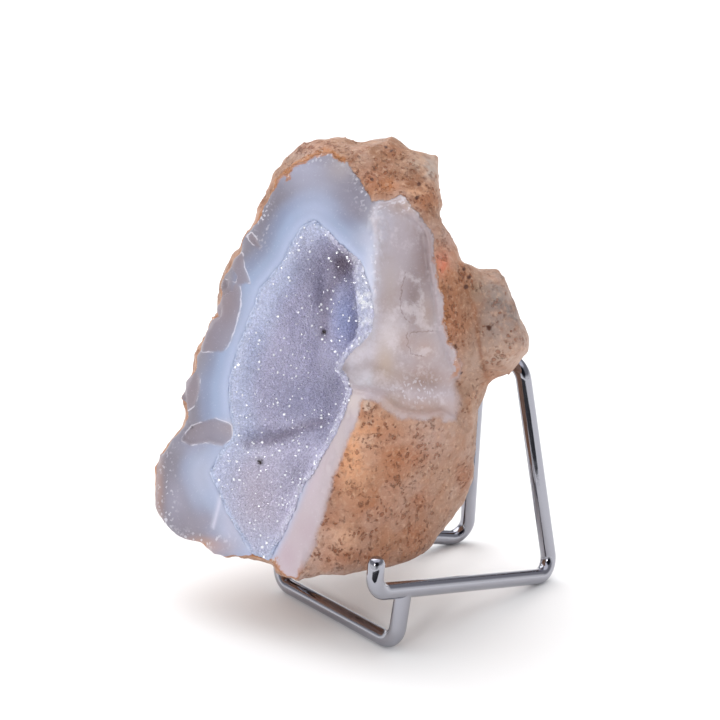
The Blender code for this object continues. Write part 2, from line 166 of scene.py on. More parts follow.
def seen_at(points):
    """Where points are seen, in mm across and up at the outlines' distance, and how far off."""
    offset = points - EYE
    depth = offset @ VIEW_FORWARD
    across = np.stack([offset @ VIEW_RIGHT, offset @ VIEW_UP], -1)
    return across * (OUTLINE_DISTANCE / depth)[..., None], depth


def from_pixels(pixels):
    """Pixels of the view, in mm across and up at the outlines' distance."""
    scale = OUTLINE_DISTANCE / VIEW_FOCAL_PX
    return (np.array(pixels, float) - VIEW_CENTRE_PX) * (scale, -scale)


def from_segment(points, start, end):
    """Distance of points from a straight run between two corners."""
    run = end - start
    share = np.clip(((points - start) @ run) / (run @ run), 0, 1)
    return np.linalg.norm(points - start - share[..., None] * run, axis=-1)


def unit(vectors):
    return vectors / np.linalg.norm(vectors, axis=-1)[..., None]


class DistanceTable:
    """Distance to an outline in the view, negative inside a closed one, read from a fine table."""

    STEP = 0.5
    MARGIN = 14.0

    def __init__(self, pixels, closed=True):
        corners = from_pixels(pixels)
        self.low = corners.min(0) - self.MARGIN
        count = np.ceil((corners.max(0) + self.MARGIN - self.low) / self.STEP).astype(int) + 1
        index = np.stack(np.meshgrid(*(np.arange(n) for n in count), indexing="ij"), -1)
        spots = self.low + self.STEP * index
        nearest = np.full(spots.shape[:2], np.inf)
        inside = np.zeros(spots.shape[:2], bool)
        starts, ends = corners, np.roll(corners, -1, 0)
        if not closed:
            starts, ends = corners[:-1], corners[1:]
        for start, end in zip(starts, ends):
            run = end - start
            nearest = np.minimum(nearest, from_segment(spots, start, end))
            spans = (start[1] > spots[..., 1]) != (end[1] > spots[..., 1])
            if closed and run[1] != 0:
                crossing = start[0] + (spots[..., 1] - start[1]) / run[1] * run[0]
                inside ^= spans & (spots[..., 0] < crossing)
        self.table = np.where(inside, -nearest, nearest)

    def __call__(self, seen):
        place = (seen - self.low) / self.STEP
        last = np.array(self.table.shape) - 1.001
        beyond = np.maximum(np.maximum(-place, place - last).max(-1), 0) * self.STEP
        place = np.clip(place, 0, last)
        i, j = place[..., 0].astype(int), place[..., 1].astype(int)
        s, t = place[..., 0] - i, place[..., 1] - j
        lower = self.table[i, j] * (1 - s) + self.table[i + 1, j] * s
        upper = self.table[i, j + 1] * (1 - s) + self.table[i + 1, j + 1] * s
        return lower * (1 - t) + upper * t + beyond


STONE_OUTLINE = DistanceTable(STONE_OUTLINE_PX)
FACE_OUTLINE = DistanceTable(FACE_OUTLINE_PX)
WHITE_OUTLINE = DistanceTable(WHITE_OUTLINE_PX)
HOLLOW_OUTLINE = DistanceTable(HOLLOW_RIGHT_PX + HOLLOW_LEFT_PX)
HOLLOW_LEFT = DistanceTable(HOLLOW_LEFT_PX, closed=False)
LATTICE = np.random.RandomState(7).rand(32, 32, 32)


def smooth_max(a, b, width):
    """The larger of two fields, with the edge between them rounded over a width."""
    share = np.clip(0.5 + 0.5 * (a - b) / width, 0, 1)
    return b * (1 - share) + a * share + width * share * (1 - share)


def smooth_min(a, b, width):
    return -smooth_max(-a, -b, width)


def smooth_step(x, low, high):
    share = np.clip((x - low) / (high - low), 0, 1)
    return share * share * (3 - 2 * share)


def ellipsoid(points, centre, radii):
    offset = points - np.array(centre, float)
    radii = np.array(radii, float)
    reach = np.linalg.norm(offset / radii, axis=-1)
    slope = np.linalg.norm(offset / radii ** 2, axis=-1)
    return reach * (reach - 1) / np.maximum(slope, 1e-6)


def noise(points, size, seed):
    """Smooth random values between -1 and 1, in lumps of about the given size."""
    place = points / size + (1 + seed) * np.array([3.7, 11.3, 7.9])
    cell = np.floor(place).astype(int)
    share = place - cell
    share = share * share * (3 - 2 * share)
    total = 0
    for corner in np.ndindex(2, 2, 2):
        weight = np.prod(np.where(corner, share, 1 - share), -1)
        i, j, k = np.moveaxis((cell + corner) % len(LATTICE), -1, 0)
        total = total + weight * LATTICE[i, j, k]
    return 2 * total - 1


def face_field(points):
    return points @ direction(FACE_AZIMUTH, FACE_TILT) - FACE_OFFSET


def skin_field(points):
    """Stone without its hollow: a rounded lump with a flat broken face, trimmed to its outline."""
    seen, depth = seen_at(points)
    back = ellipsoid(points, (-2, -52, 44), (42, 42, 66))
    left = ellipsoid(points, (8, -44, 34), (43.5, 60, 69))
    underside = ellipsoid(points, (0, -48, 60), (72, 62, 50))
    right = points @ direction(78, -8) - 19.2
    lump = smooth_max(smooth_max(back, left, 6), underside, 3)
    lump = smooth_max(lump, right, 4)

    beyond_face = np.maximum(FACE_OUTLINE(seen), 0)
    white = smooth_step(-WHITE_OUTLINE(seen), 0, 1)
    fall = SKIN_SLOPE * beyond_face + SKIN_CURVE * beyond_face ** 2 + WHITE_STEP * white
    face = face_field(points)
    lump = smooth_max(lump, face + fall, 2)

    knob = ellipsoid(points, (5, -14.2, 51), (13, 10, 14))
    lump = smooth_min(lump, knob, 1.5)
    left_hook_hollow = ellipsoid(points, (-25, -44, 11), (12, 11, 16))
    lump = smooth_max(lump, -left_hook_hollow, 3)

    lump = lump + 0.9 * noise(points, 12, 1) + 0.5 * noise(points, 5, 2)
    lump = smooth_max(lump, STONE_OUTLINE(seen) * depth / OUTLINE_DISTANCE, 2.5)
    return smooth_max(lump, face + 0.35 * noise(points, 16, 3), 0.8)


def depth_share(seen):
    """How deep the hollow is as a share of its full depth, less in its lower part."""
    return LOWER_DEPTH_SHARE + (1 - LOWER_DEPTH_SHARE) * smooth_step(seen[..., 1], -18, -8)


def hollow_floor(points, seen):
    """How deep the hollow is under the broken face, its crust of crystals included."""
    run = HOLLOW_LEFT(seen)
    floor = CRUST_THICKNESS + HOLLOW_DEPTH * (1 - np.exp(-run / HOLLOW_RUN)) * depth_share(seen)
    for centre, radii, height in HOLLOW_LUMPS:
        floor = floor - height * spot(pixels_of(seen), centre, radii) * smooth_step(run, 0, 3)
    return floor + 0.5 * noise(points, 6, 4)


def hollow_field(points):
    """Negative inside the hollow that is cut into the stone."""
    seen, depth = seen_at(points)
    wall = HOLLOW_OUTLINE(seen) * depth / OUTLINE_DISTANCE
    return smooth_max(-(face_field(points) + hollow_floor(points, seen)), wall, 1.5)


def wire_field(points):
    """Distance to the surface of the stand's wires."""
    nearest = np.inf
    for start, end in wire_runs():
        nearest = np.minimum(nearest, from_segment(points, start, end) - WIRE_RADIUS)
    return nearest


def stone_field(points):
    stone = smooth_max(skin_field(points), -hollow_field(points), 1.0)
    return smooth_max(stone, GAP - wire_field(points), 0.4)


def crust_field(points):
    hollow = hollow_field(points)
    crust = smooth_max(hollow + CRUST_GAP, -(hollow + CRUST_THICKNESS), 0.3)
    return smooth_max(crust, skin_field(points) + 0.3, 0.6)


# Chips on the left of the broken face: corner pixels and depth in mm
CHIPS = [
    ([(226, 279), (241, 286), (241, 305), (237, 322), (231, 341), (224, 352), (200, 352),
      (200, 279)], 0.6),
    ([(222, 258), (243, 252), (245, 268), (251, 283), (240, 285), (226, 280), (210, 275)], 0.35),
    ([(251, 232), (257, 238), (263, 252), (252, 244), (246, 236)], 0.4),
    ([(186, 376), (200, 373), (200, 390), (195, 405), (188, 411), (176, 400)], 0.6),
    ([(192, 425), (214, 418), (232, 424), (233, 438), (222, 447), (206, 443), (190, 446),
      (180, 440)], 0.7),
]
CHIP_TABLES = [(DistanceTable(pixels), depth) for pixels, depth in CHIPS]

# Hairline cracks, in pixels
CRACKS_PX = [
    [(405, 272), (401, 290), (400, 308), (405, 318), (410, 322)],
    [(408, 333), (421, 331), (432, 331)],
    [(407, 333), (408, 347), (412, 354), (422, 356)],
]
SCRATCH_PX = [(222, 490), (218, 508), (213, 527)]

# How far down its outer side the broken chalcedony reaches, before the skin starts
RIND_DEPTH = 1.1
# How far the druse eases down from the left edge of the hollow
EASING_RUN = 3.5
FINE_SPACING = 0.5
# Corners of the boxes that the fine grids of the stone and the crust fill
STONE_BOX = (-38, -72, 6), (24, 2, 94)
CRUST_BOX = (-34, -70, 8), (18, -18, 84)
PIT_SPACING = 1.9
BLOCK = 4
# Centre and radii, in pixels, of the place where the hollow's border is thick
THICK_BORDER_PX = (365, 298), (14, 44)


def paint(red, green, blue):
    """A colour given as it looks on screen, from 0 to 255, as linear values."""
    share = np.array([red, green, blue]) / 255
    return np.where(share < 0.04045, share / 12.92, ((share + 0.055) / 1.055) ** 2.4)


def pixels_of(seen):
    """The pixels of the view for places in mm at the outlines' distance."""
    scale = OUTLINE_DISTANCE / VIEW_FOCAL_PX
    return seen * (1 / scale, -1 / scale) + VIEW_CENTRE_PX


def spot(pixels, centre, radii):
    """Weight of a soft round patch, 1 at its centre."""
    reach = (((pixels - centre) / radii) ** 2).sum(-1)
    return np.exp(-reach)


def spots(pixels, places):
    """Sum of soft round patches, each given by its centre, radii and height."""
    return sum(height * spot(pixels, centre, radii) for centre, radii, height in places)


def blend(colour, other, weight):
    return colour + (np.asarray(other) - colour) * np.clip(weight, 0, 1)[..., None]


def beside_line(pixels, corners, reach):
    """Weight of a soft line through corners, 1 in its middle, less by e at its reach in pixels."""
    nearest = np.full(len(pixels), np.inf)
    corners = np.array(corners, float)
    for start, end in zip(corners[:-1], corners[1:]):
        nearest = np.minimum(nearest, from_segment(pixels, start, end))
    return np.exp(-(nearest / reach) ** 2)


def chipped(seen):
    """How deep the chips are at places of the view, and how far the nearest chip's edge is."""
    lowered = np.zeros(seen.shape[:-1])
    edge = np.full(seen.shape[:-1], np.inf)
    for table, depth in CHIP_TABLES:
        distance = table(seen)
        inside = smooth_step(-distance, -0.05, 0.35)
        lowered = np.maximum(lowered, inside * depth * (1 - 0.12 * distance))
        edge = np.where(np.abs(distance) < np.abs(edge), distance, edge)
    return lowered, edge


def pits(points):
    """1 in the middle of round pits that are scattered through space, 0 away from them."""
    place = points / PIT_SPACING
    cell = np.floor(place).astype(int)
    depth = np.zeros(len(points))
    for step in np.ndindex(3, 3, 3):
        near = cell + step - 1
        i, j, k = (near % len(LATTICE)).T
        size = LATTICE[k, i, j]
        shift = [LATTICE[i, j, k], LATTICE[j, k, i], 0.5 * (size + LATTICE[i, k, j])]
        middle = near + np.stack(shift, -1)
        away = np.linalg.norm(place - middle, axis=-1) * PIT_SPACING
        radius = 0.9 * (size - 0.4)
        depth = np.maximum(depth, smooth_step(radius - away, 0, 0.5 * radius) * (size > 0.7))
    return depth


def fine_stone_field(points):
    """The stone's field with chips, ledges and the roughness of its skin."""
    seen = seen_at(points)[0]
    face = face_field(points)
    coarse = stone_field(points)
    beyond_face = FACE_OUTLINE(seen)
    white = smooth_step(-WHITE_OUTLINE(seen), 0, 1) * (face > WHITE_BACK)
    skin = np.where(face > -2.5, smooth_step(beyond_face, 0, 2), 1) * (1 - white)
    pixels = pixels_of(seen)
    grainy = spot(pixels, *GRAINY_PX) + 0.6 * spot(pixels, *BUMPY_PX)
    smoother = 1 - 0.5 * smooth_step(-seen[..., 1], 4, 10)
    rough = smoother * (0.42 * noise(points, 3.1, 5) + 0.3 * noise(points, 1.4, 6))
    rough = rough - 0.35 * pits(points) + 0.4 * grainy * noise(points, 1.1, 16)
    smooth_part = 0.1 * noise(points, 4, 7)
    beside_face = smooth_step(-face, 0.4, 1.6) * (1 - skin) * (1 - white) * (face > -6)
    smooth_part = smooth_part + beside_face * (0.5 * noise(points, 1.5, 21) + 0.4 * noise(points, 3, 22))
    in_hollow = smooth_step(hollow_field(points), 0.7, 1.7)
    value = coarse + in_hollow * (skin * rough + (1 - skin) * smooth_part)
    lowered = chipped(seen)[0]
    near_edge = smooth_step(beyond_face, -1.6, 0)
    ragged = near_edge * (0.35 + 0.45 * noise(points, 1.5, 8))
    cut = face + lowered + np.maximum(ragged, 0) * (face > -3)
    return np.maximum(value, np.where(face > -4, cut, value))


def druse_surface(points):
    """Negative in the open space over the druse, whose border is thin but for the upper right."""
    seen, depth = seen_at(points)
    run = HOLLOW_LEFT(seen)
    slower = np.exp(-run ** 2 / (HOLLOW_RUN * (run + EASING_RUN)))
    eased = HOLLOW_DEPTH * (slower - np.exp(-run / HOLLOW_RUN))
    floor = hollow_floor(points, seen) - CRUST_THICKNESS - eased * depth_share(seen)
    border = 0.25 + (2.0 + noise(points, 2, 24)) * spot(pixels_of(seen), *THICK_BORDER_PX)
    wall = HOLLOW_OUTLINE(seen) * depth / OUTLINE_DISTANCE + border
    return smooth_max(-(face_field(points) + floor), wall, 1.0)


def fine_crust_field(points):
    inner = druse_surface(points) + 0.1 * noise(points, 1.2, 9)
    crust = smooth_max(hollow_field(points) - 0.5 - 0.35 * noise(points, 1.5, 25), -inner, 0.3)
    return smooth_max(crust, skin_field(points) - 0.06, 0.2)


def sampled(field, coarse_field, low, high, spacing):
    """A field on a fine grid, worked out near its surface and roughly elsewhere."""
    low = np.array(low, float)
    count = [int(ceil(n)) for n in (np.array(high) - low) / (BLOCK * spacing)]
    block = np.stack(np.meshgrid(*(np.arange(n) for n in count), indexing="ij"), -1)
    middles = low + BLOCK * spacing * (block + 0.5) - 0.5 * spacing
    rough = np.stack([coarse_field(layer) for layer in middles])
    near = np.abs(rough) < BLOCK * spacing * 0.9 + 1.0
    value = rough
    mask = near
    for axis in range(3):
        value = np.repeat(value, BLOCK, axis)
        mask = np.repeat(mask, BLOCK, axis)
    index = np.argwhere(mask)
    value[mask] = np.concatenate([field(low + spacing * part) for part in np.array_split(index, 12)])
    return value, low


def net_mesh(value, low, spacing):
    """Closed mesh of four-sided faces round the grid's negative side."""
    inside = value < 0
    corners = list(np.ndindex(2, 2, 2))
    cells_shape = np.array(value.shape) - 1
    number_inside = np.zeros(cells_shape, int)
    for i, j, k in corners:
        number_inside += inside[i:i + cells_shape[0], j:j + cells_shape[1], k:k + cells_shape[2]]
    mixed = (number_inside > 0) & (number_inside < 8)
    index = np.full(mixed.shape, -1)
    index[mixed] = np.arange(mixed.sum())
    cells = np.argwhere(mixed)
    total = np.zeros((len(cells), 3))
    crossings = np.zeros(len(cells))
    for corner in np.array(corners):
        for axis in range(3):
            if corner[axis]:
                continue
            step = np.eye(3, dtype=int)[axis]
            first = value[tuple((cells + corner).T)]
            second = value[tuple((cells + corner + step).T)]
            crossed = (first < 0) != (second < 0)
            share = first[crossed] / (first[crossed] - second[crossed])
            total[crossed] += corner + share[:, None] * step
            crossings += crossed
    points = low + spacing * (cells + total / crossings[:, None])

    faces = []
    for axis in range(3):
        u, v = (axis + 1) % 3, (axis + 2) % 3
        step, step_u, step_v = np.eye(3, dtype=int)[[axis, u, v]]
        first = np.moveaxis(inside, axis, 0)[:-1]
        second = np.moveaxis(inside, axis, 0)[1:]
        spots = np.argwhere(np.moveaxis(first != second, 0, axis))
        spots = spots[(spots[:, u] > 0) & (spots[:, v] > 0)]
        around = [spots, spots - step_u, spots - step_u - step_v, spots - step_v]
        quads = np.stack([index[tuple(one.T)] for one in around], 1)
        outward = inside[tuple(spots.T)]
        faces.append(np.where(outward[:, None], quads, quads[:, ::-1]))
    return points, np.concatenate(faces)


def stand_to_row():
    """How far the stand's own frame is moved, in mm, found from the boxes of its solids."""
    frame_low, frame_high = np.array(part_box("stand_frame"))
    foot_low, foot_high = np.array(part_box("stand_foot"))
    half_wire = WIRE_RADIUS * cos(pi / WIRE_SIDES)
    across = (frame_low[0] + frame_high[0]) / 2 / MM
    back = foot_low[1] / MM - (FOOT_Y - half_wire)
    return np.array([across, back, 0.0])


SHIFT = stand_to_row()


def new_object(name, data):
    made = bpy.data.objects.new(name, data)
    bpy.context.scene.collection.objects.link(made)
    return made


def new_mesh(name, points, faces):
    """A mesh object from points in the stand's own frame in mm."""
    mesh = bpy.data.meshes.new(name)
    places = (np.asarray(points) + SHIFT) * MM
    mesh.from_pydata(places.tolist(), [], [tuple(map(int, face)) for face in faces])
    return new_object(name, mesh)


def new_piece(name, points, faces):
    """A piece from points in the stand's own frame in mm, riding on the part's one body."""
    made = new_mesh(name, points, faces)
    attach(made, "root")
    return made


def normals_of(made):
    values = np.empty(len(made.data.vertices) * 3)
    made.data.vertex_normals.foreach_get("vector", values)
    return values.reshape(-1, 3)


# The light is a little brighter than full, so that the floor is white, and the paints make up for it
PAINT_SHARE = 0.93


def set_colour(made, name, colours, domain="POINT"):
    layer = made.data.color_attributes.new(name, "FLOAT_COLOR", domain)
    values = np.ones((len(colours), 4))
    values[:, :3] = colours * PAINT_SHARE
    layer.data.foreach_set("color", values.ravel())


def set_value(made, name, values):
    layer = made.data.attributes.new(name, "FLOAT", "POINT")
    layer.data.foreach_set("value", np.asarray(values, float))


def facing_view(points, normals):
    """1 where the surface faces the view that the patches are placed in, 0 where it faces away."""
    return smooth_step((normals * unit(EYE - points)).sum(-1), -0.05, 0.25)


# How much less light than the rest the broken face needs
FACE_SHARE = 0.85


def laid_over(colour, pixels, patches, weight=1.0):
    """A colour with soft round patches over it: centre and radii in pixels, strength and colour."""
    for centre, radii, strength, patch in patches:
        colour = blend(colour, paint(*patch), weight * strength * spot(pixels, centre, radii))
    return colour


def layered(colour, layers):
    """A colour with others laid over it in turn, each given after its weight."""
    for weight, other in layers:
        colour = blend(colour, paint(*other), weight)
    return colour


# Soft patches on the blue-grey rim round the hollow
RIM_PATCHES = [
    ((305, 170), (34, 18), 0.8, (184, 184, 206)), ((320, 190), (26, 12), 0.6, (184, 188, 212)),
    ((342, 168), (16, 14), 0.8, (184, 174, 178)), ((352, 202), (20, 22), 0.95, (146, 141, 157)),
    ((362, 238), (12, 14), 0.8, (184, 188, 210)), ((318, 208), (22, 12), 0.8, (182, 190, 218)),
    ((256, 232), (16, 26), 0.7, (142, 138, 152)), ((232, 428), (16, 8), 0.9, (196, 190, 204)),
    ((200, 476), (16, 34), 0.9, (186, 191, 214)), ((176, 500), (12, 22), 0.7, (172, 168, 188)),
    ((202, 522), (20, 14), 0.8, (160, 152, 166)), ((232, 524), (14, 30), 0.9, (198, 198, 220)),
    ((212, 548), (24, 10), 0.8, (184, 164, 170)), ((225, 300), (14, 26), 0.9, (142, 126, 130)),
    ((205, 350), (10, 22), 0.6, (152, 146, 156)), ((200, 543), (16, 6), 0.8, (190, 150, 132)),
    ((196, 444), (20, 10), 0.7, (165, 165, 186)), ((159, 492), (5, 46), 0.8, (166, 134, 126)),
]
# Soft patches on the white area to the right of the hollow: its own tones, and painted shade down its
# soft ridges
WHITE_TONES_AND_SHADE = [
    ((384, 226), (12, 30), 0.9, (189, 186, 200)), ((402, 246), (16, 20), 0.8, (182, 170, 178)),
    # The two brownish grey stripes on this line are painted shade
    ((424, 258), (10, 34), 0.9, (150, 130, 131)), ((414, 300), (10, 34), 0.95, (143, 126, 127)),
    ((390, 292), (8, 30), 0.7, (182, 168, 166)), ((427, 315), (8, 22), 0.8, (172, 151, 144)),
    ((388, 334), (16, 16), 0.9, (214, 204, 208)), ((368, 348), (16, 14), 0.9, (208, 197, 200)),
    ((404, 342), (10, 10), 0.7, (178, 154, 148)), ((425, 350), (12, 12), 0.8, (182, 156, 147)),
    ((415, 408), (36, 7), 0.8, (188, 156, 142)), ((380, 372), (14, 12), 0.8, (194, 168, 156)),
    ((402, 376), (12, 10), 0.8, (190, 168, 162)), ((421, 376), (10, 12), 0.8, (174, 146, 137)),
    ((444, 392), (16, 18), 0.8, (188, 166, 163)), ((462, 412), (10, 12), 0.7, (174, 140, 124)),
    ((355, 358), (13, 13), 0.95, (230, 224, 232)), ((354, 378), (9, 10), 0.9, (218, 212, 220)),
    ((405, 206), (16, 8), 0.8, (186, 162, 152)), ((385, 362), (10, 18), 0.7, (200, 180, 164)),
    ((366, 378), (9, 8), 0.9, (222, 222, 232)), ((408, 392), (22, 10), 0.7, (184, 160, 152)),
    ((430, 380), (18, 14), 0.8, (162, 134, 124)), ((448, 396), (14, 14), 0.6, (186, 170, 176)),
    ((458, 420), (15, 13), 0.95, (172, 134, 112)),
]
# Places with pale flecks, as centre and radii in pixels
FLECKED_PX = [
    ((312, 152), (34, 10)), ((368, 184), (14, 20)), ((262, 214), (8, 26)), ((200, 540), (30, 8)),
    ((416, 390), (26, 14)), ((404, 206), (22, 8)), ((376, 250), (5, 34)), ((166, 500), (8, 50)),
]
# Pale streaks along the left edge of the white area
EDGE_PATCHES = [
    ((370, 285), (7, 60), 0.9, (206, 208, 226)), ((377, 235), (4, 36), 0.6, (208, 208, 222)),
]
# Where the white area starts, and where the pale broken band starts at its top and at its leaning left
WHITE_LEFT_PX = 374, 380
BAND_TOP_PX = 380, 396
BAND_LEFT_PX = 335, 350
BAND_LEAN, BAND_LEAN_PX = 0.42, 400
# Soft patches on the pale broken band beside the lower skin
BAND_PATCHES = [
    ((352, 402), (10, 12), 0.9, (209, 196, 194)), ((420, 409), (36, 9), 0.85, (184, 152, 138)),
    ((392, 401), (12, 9), 0.8, (190, 162, 148)), ((340, 436), (6, 24), 0.9, (192, 179, 182)),
    ((306, 530), (12, 16), 0.8, (186, 168, 176)), ((286, 556), (12, 18), 0.9, (188, 168, 178)),
    ((312, 480), (8, 26), 0.8, (196, 181, 190)),
]


def paint_chalcedony(points, seen, pixels):
    """Colour of the broken face and of the white area right of the hollow."""
    across, down = pixels.T
    from_hollow = np.maximum(HOLLOW_OUTLINE(seen), 0)
    colour = layered(np.zeros((len(points), 3)) + paint(188, 199, 230), [
        (smooth_step(from_hollow, 0.8, 3), (166, 181, 213)),
        (smooth_step(from_hollow, 2.6, 5), (148, 158, 188)),
        (smooth_step(from_hollow, 4.5, 7.5), (138, 132, 144)),
    ])
    colour = laid_over(colour, pixels, RIM_PATCHES)
    chip_edge = chipped(seen)[1]
    colour = blend(colour, paint(154, 140, 148), smooth_step(-chip_edge, -0.1, 0.3) * 0.7)
    bands = np.sin(from_hollow * 2.6 + 1.2 * noise(points, 6, 11))
    colour = colour * FACE_SHARE * (1 + 0.015 * bands[:, None])
    white = smooth_step(-WHITE_OUTLINE(seen), -1.0, 0.6)
    beside_white = smooth_step(-WHITE_OUTLINE(seen), -5, -3) * smooth_step(across, *WHITE_LEFT_PX)
    white = np.maximum(white, beside_white)
    colour = blend(colour, paint(184, 172, 178), white)
    # Painted shade on the white area's soft ridges, among its own tones
    colour = laid_over(colour, pixels, WHITE_TONES_AND_SHADE, white)
    colour = laid_over(colour, pixels, EDGE_PATCHES)
    scratch = beside_line(pixels, SCRATCH_PX, 2)
    leaning = across + BAND_LEAN * (down - BAND_LEAN_PX)
    right_side = smooth_step(down, *BAND_TOP_PX) * smooth_step(leaning, *BAND_LEFT_PX)
    colour = layered(colour, [(0.7 * scratch, (214, 212, 230)), (right_side, (192, 178, 184))])
    return laid_over(colour, pixels, BAND_PATCHES, right_side)


# The brown line along the right border of the white area
WHITE_BORDER_PX = [(431, 268), (436, 300), (441, 335), (449, 356), (460, 376)]
# Where the pale band passes softly into the lower skin
BAND_BORDER_PX = [(352, 400), (343, 434), (329, 472), (315, 522), (302, 556)]

# Where the border of the broken face starts to wander, and how far right the brown rind reaches
WANDERING_PX = 380, 400
RIND_RIGHT_PX = 345
# Centre, radii and height of the places where the skin's border is soft, and where it is raised
SOFT_PX = [((425, 404), (52, 18), 1.0), ((455, 398), (16, 30), 0.8)]
RAISED_PX = [((420, 412), (34, 14), 2.0), ((458, 422), (14, 14), 2.5)]
# Where the skin stays dark right up to the white area
DARK_BORDER_PX = (446, 310), (16, 70)

# Soft patches on the outer skin
SKIN_PATCHES = [
    ((352, 455), (22, 56), 0.95, (232, 170, 128)), ((372, 430), (20, 16), 0.8, (240, 178, 136)),
    ((380, 500), (20, 22), 0.9, (174, 108, 62)), ((340, 540), (22, 18), 0.9, (236, 180, 140)),
    ((368, 404), (18, 16), 0.9, (208, 176, 156)), ((320, 545), (26, 26), 0.9, (202, 165, 147)),
    ((384, 448), (20, 24), 0.6, (182, 124, 90)), ((362, 506), (24, 18), 0.6, (180, 126, 94)),
    ((438, 440), (26, 28), 0.85, (178, 140, 122)), ((426, 430), (20, 18), 0.8, (190, 156, 142)),
    ((408, 418), (12, 8), 0.8, (196, 148, 120)), ((456, 420), (12, 20), 0.8, (166, 128, 108)),
    ((420, 500), (34, 40), 0.6, (170, 128, 107)), ((464, 470), (14, 60), 0.8, (160, 122, 100)),
    ((390, 562), (60, 12), 0.7, (154, 110, 84)), ((430, 530), (24, 22), 0.7, (156, 114, 90)),
    ((448, 316), (13, 44), 0.95, (140, 98, 70)), ((462, 300), (10, 30), 0.7, (152, 114, 88)),
    ((472, 362), (14, 22), 0.8, (172, 143, 127)), ((468, 392), (14, 14), 0.7, (172, 138, 117)),
    ((474, 284), (14, 14), 0.9, (138, 110, 80)), ((504, 318), (26, 48), 1.0, (134, 122, 118)),
    ((504, 356), (24, 16), 0.95, (192, 164, 148)), ((496, 290), (14, 12), 0.8, (158, 142, 134)),
    ((230, 320), (44, 130), 0.9, (152, 122, 104)), ((278, 168), (16, 18), 0.9, (140, 98, 66)),
    ((441, 262), (8, 13), 1.2, (212, 122, 92)), ((300, 150), (26, 14), 0.9, (152, 136, 128)),
    ((332, 145), (18, 9), 0.9, (148, 108, 76)), ((368, 160), (28, 20), 0.8, (164, 122, 96)),
    ((372, 192), (16, 10), 0.7, (170, 124, 92)), ((394, 148), (20, 12), 0.8, (152, 120, 92)),
    ((430, 168), (13, 16), 0.9, (182, 170, 162)), ((414, 168), (10, 12), 0.7, (186, 158, 138)),
    ((404, 186), (13, 8), 0.8, (188, 138, 104)), ((392, 186), (12, 6), 0.8, (194, 118, 58)),
    ((440, 338), (6, 22), 0.7, (196, 120, 54)), ((415, 197), (14, 14), 0.7, (150, 104, 74)),
    ((426, 206), (13, 16), 0.8, (160, 122, 97)), ((436, 232), (14, 14), 0.8, (168, 140, 128)),
    ((450, 240), (10, 14), 0.7, (176, 142, 130)),
]
# Centre and radii of the sugary patch at the upper right and of the bumpy pale patch below the ledge
GRAINY_PX = (416, 192), (20, 34)
BUMPY_PX = (368, 416), (18, 22)
# Brown lines at the knob's left, and holes painted dark as painted shade inside them, with their radius
KNOB_EDGES_PX = [
    [(367, 146), (358, 154), (350, 162)], [(388, 399), (398, 408), (412, 412), (431, 411)],
    [(462, 266), (468, 296), (475, 310), (477, 330), (481, 355), (487, 380)],
]
HOLE_SHADE_PX = [
    ((489, 328), 3.4), ((466, 287), 3.2), ((469, 277), 2.6), ((464, 269), 2.2), ((455, 347), 3.2),
    ((457, 371), 3.0), ((461, 373), 2.4), ((386, 147), 2.2), ((391, 151), 2.0), ((372, 179), 2.2),
    ((419, 184), 2.6), ((417, 198), 2.4),
]
# Clusters of small brown pits in the skin, as centre and radii in pixels
PIT_CLUSTERS_PX = [
    ((386, 434), (14, 12)), ((398, 460), (14, 12)), ((418, 458), (12, 10)), ((376, 512), (26, 12)),
    ((328, 520), (12, 12)), ((368, 534), (16, 8)), ((414, 534), (12, 14)), ((393, 484), (10, 12)),
    ((420, 500), (10, 10)), ((464, 476), (10, 16)), ((366, 412), (16, 14)), ((334, 480), (8, 22)),
    ((350, 556), (40, 10)), ((450, 320), (14, 40)), ((466, 280), (10, 12)), ((372, 180), (24, 16)),
    ((392, 150), (14, 10)), ((424, 200), (14, 16)), ((312, 148), (30, 8)),
]


def side_of_line(pixels, corners):
    """Distance to a line, negative on one side of it, and whether the line is really near."""
    nearest = np.full(len(pixels), np.inf)
    sided = np.zeros(len(pixels))
    corners = np.array(corners, float)
    for start, end in zip(corners[:-1], corners[1:]):
        run = end - start
        away = from_segment(pixels, start, end)
        across = ((pixels - start) @ (-run[1], run[0])) / np.linalg.norm(run)
        sided = np.where(away < nearest, across, sided)
        nearest = np.minimum(nearest, away)
    return sided, nearest < 3


def paint_skin(points, pixels, facing):
    """Colour of the outer skin."""
    colour = layered(np.zeros((len(points), 3)) + paint(182, 142, 116), [
        (0.5 + 0.5 * noise(points, 5, 12), (166, 122, 94)),
        (0.75 * smooth_step(noise(points, 17, 30), 0.0, 0.4), (162, 144, 140)),
        (0.6 * smooth_step(noise(points, 11, 31), 0.1, 0.5), (184, 118, 72)),
        (0.5 * smooth_step(noise(points, 9, 32), 0.2, 0.6), (128, 92, 70)),
    ])
    colour = laid_over(colour, pixels, SKIN_PATCHES, facing)
    for centre, radii in PIT_CLUSTERS_PX:
        colour = blend(colour, paint(168, 96, 50), 0.6 * facing * spot(pixels, centre, radii))
    pale = smooth_step(noise(points, 3.2, 13), 0.1, 0.5)
    grainy = facing * spot(pixels, *GRAINY_PX)
    bumpy = facing * spot(pixels, *BUMPY_PX)
    colour = layered(colour, [
        ((0.3 + 0.2 * (1 - facing)) * pale, (196, 164, 148)),
        (0.7 * grainy * smooth_step(noise(points, 1.1, 16), 0.15, 0.4), (222, 172, 138)),
        (0.8 * grainy * smooth_step(noise(points, 1.3, 17), 0.15, 0.4), (132, 78, 42)),
        (0.6 * bumpy * smooth_step(noise(points, 1.5, 18), 0.0, 0.4), (226, 206, 190)),
    ])
    for corners in KNOB_EDGES_PX:
        edge = 0.75 * facing * beside_line(pixels, corners, 2.2)
        colour = blend(colour, paint(140, 84, 48), edge)
    return colour


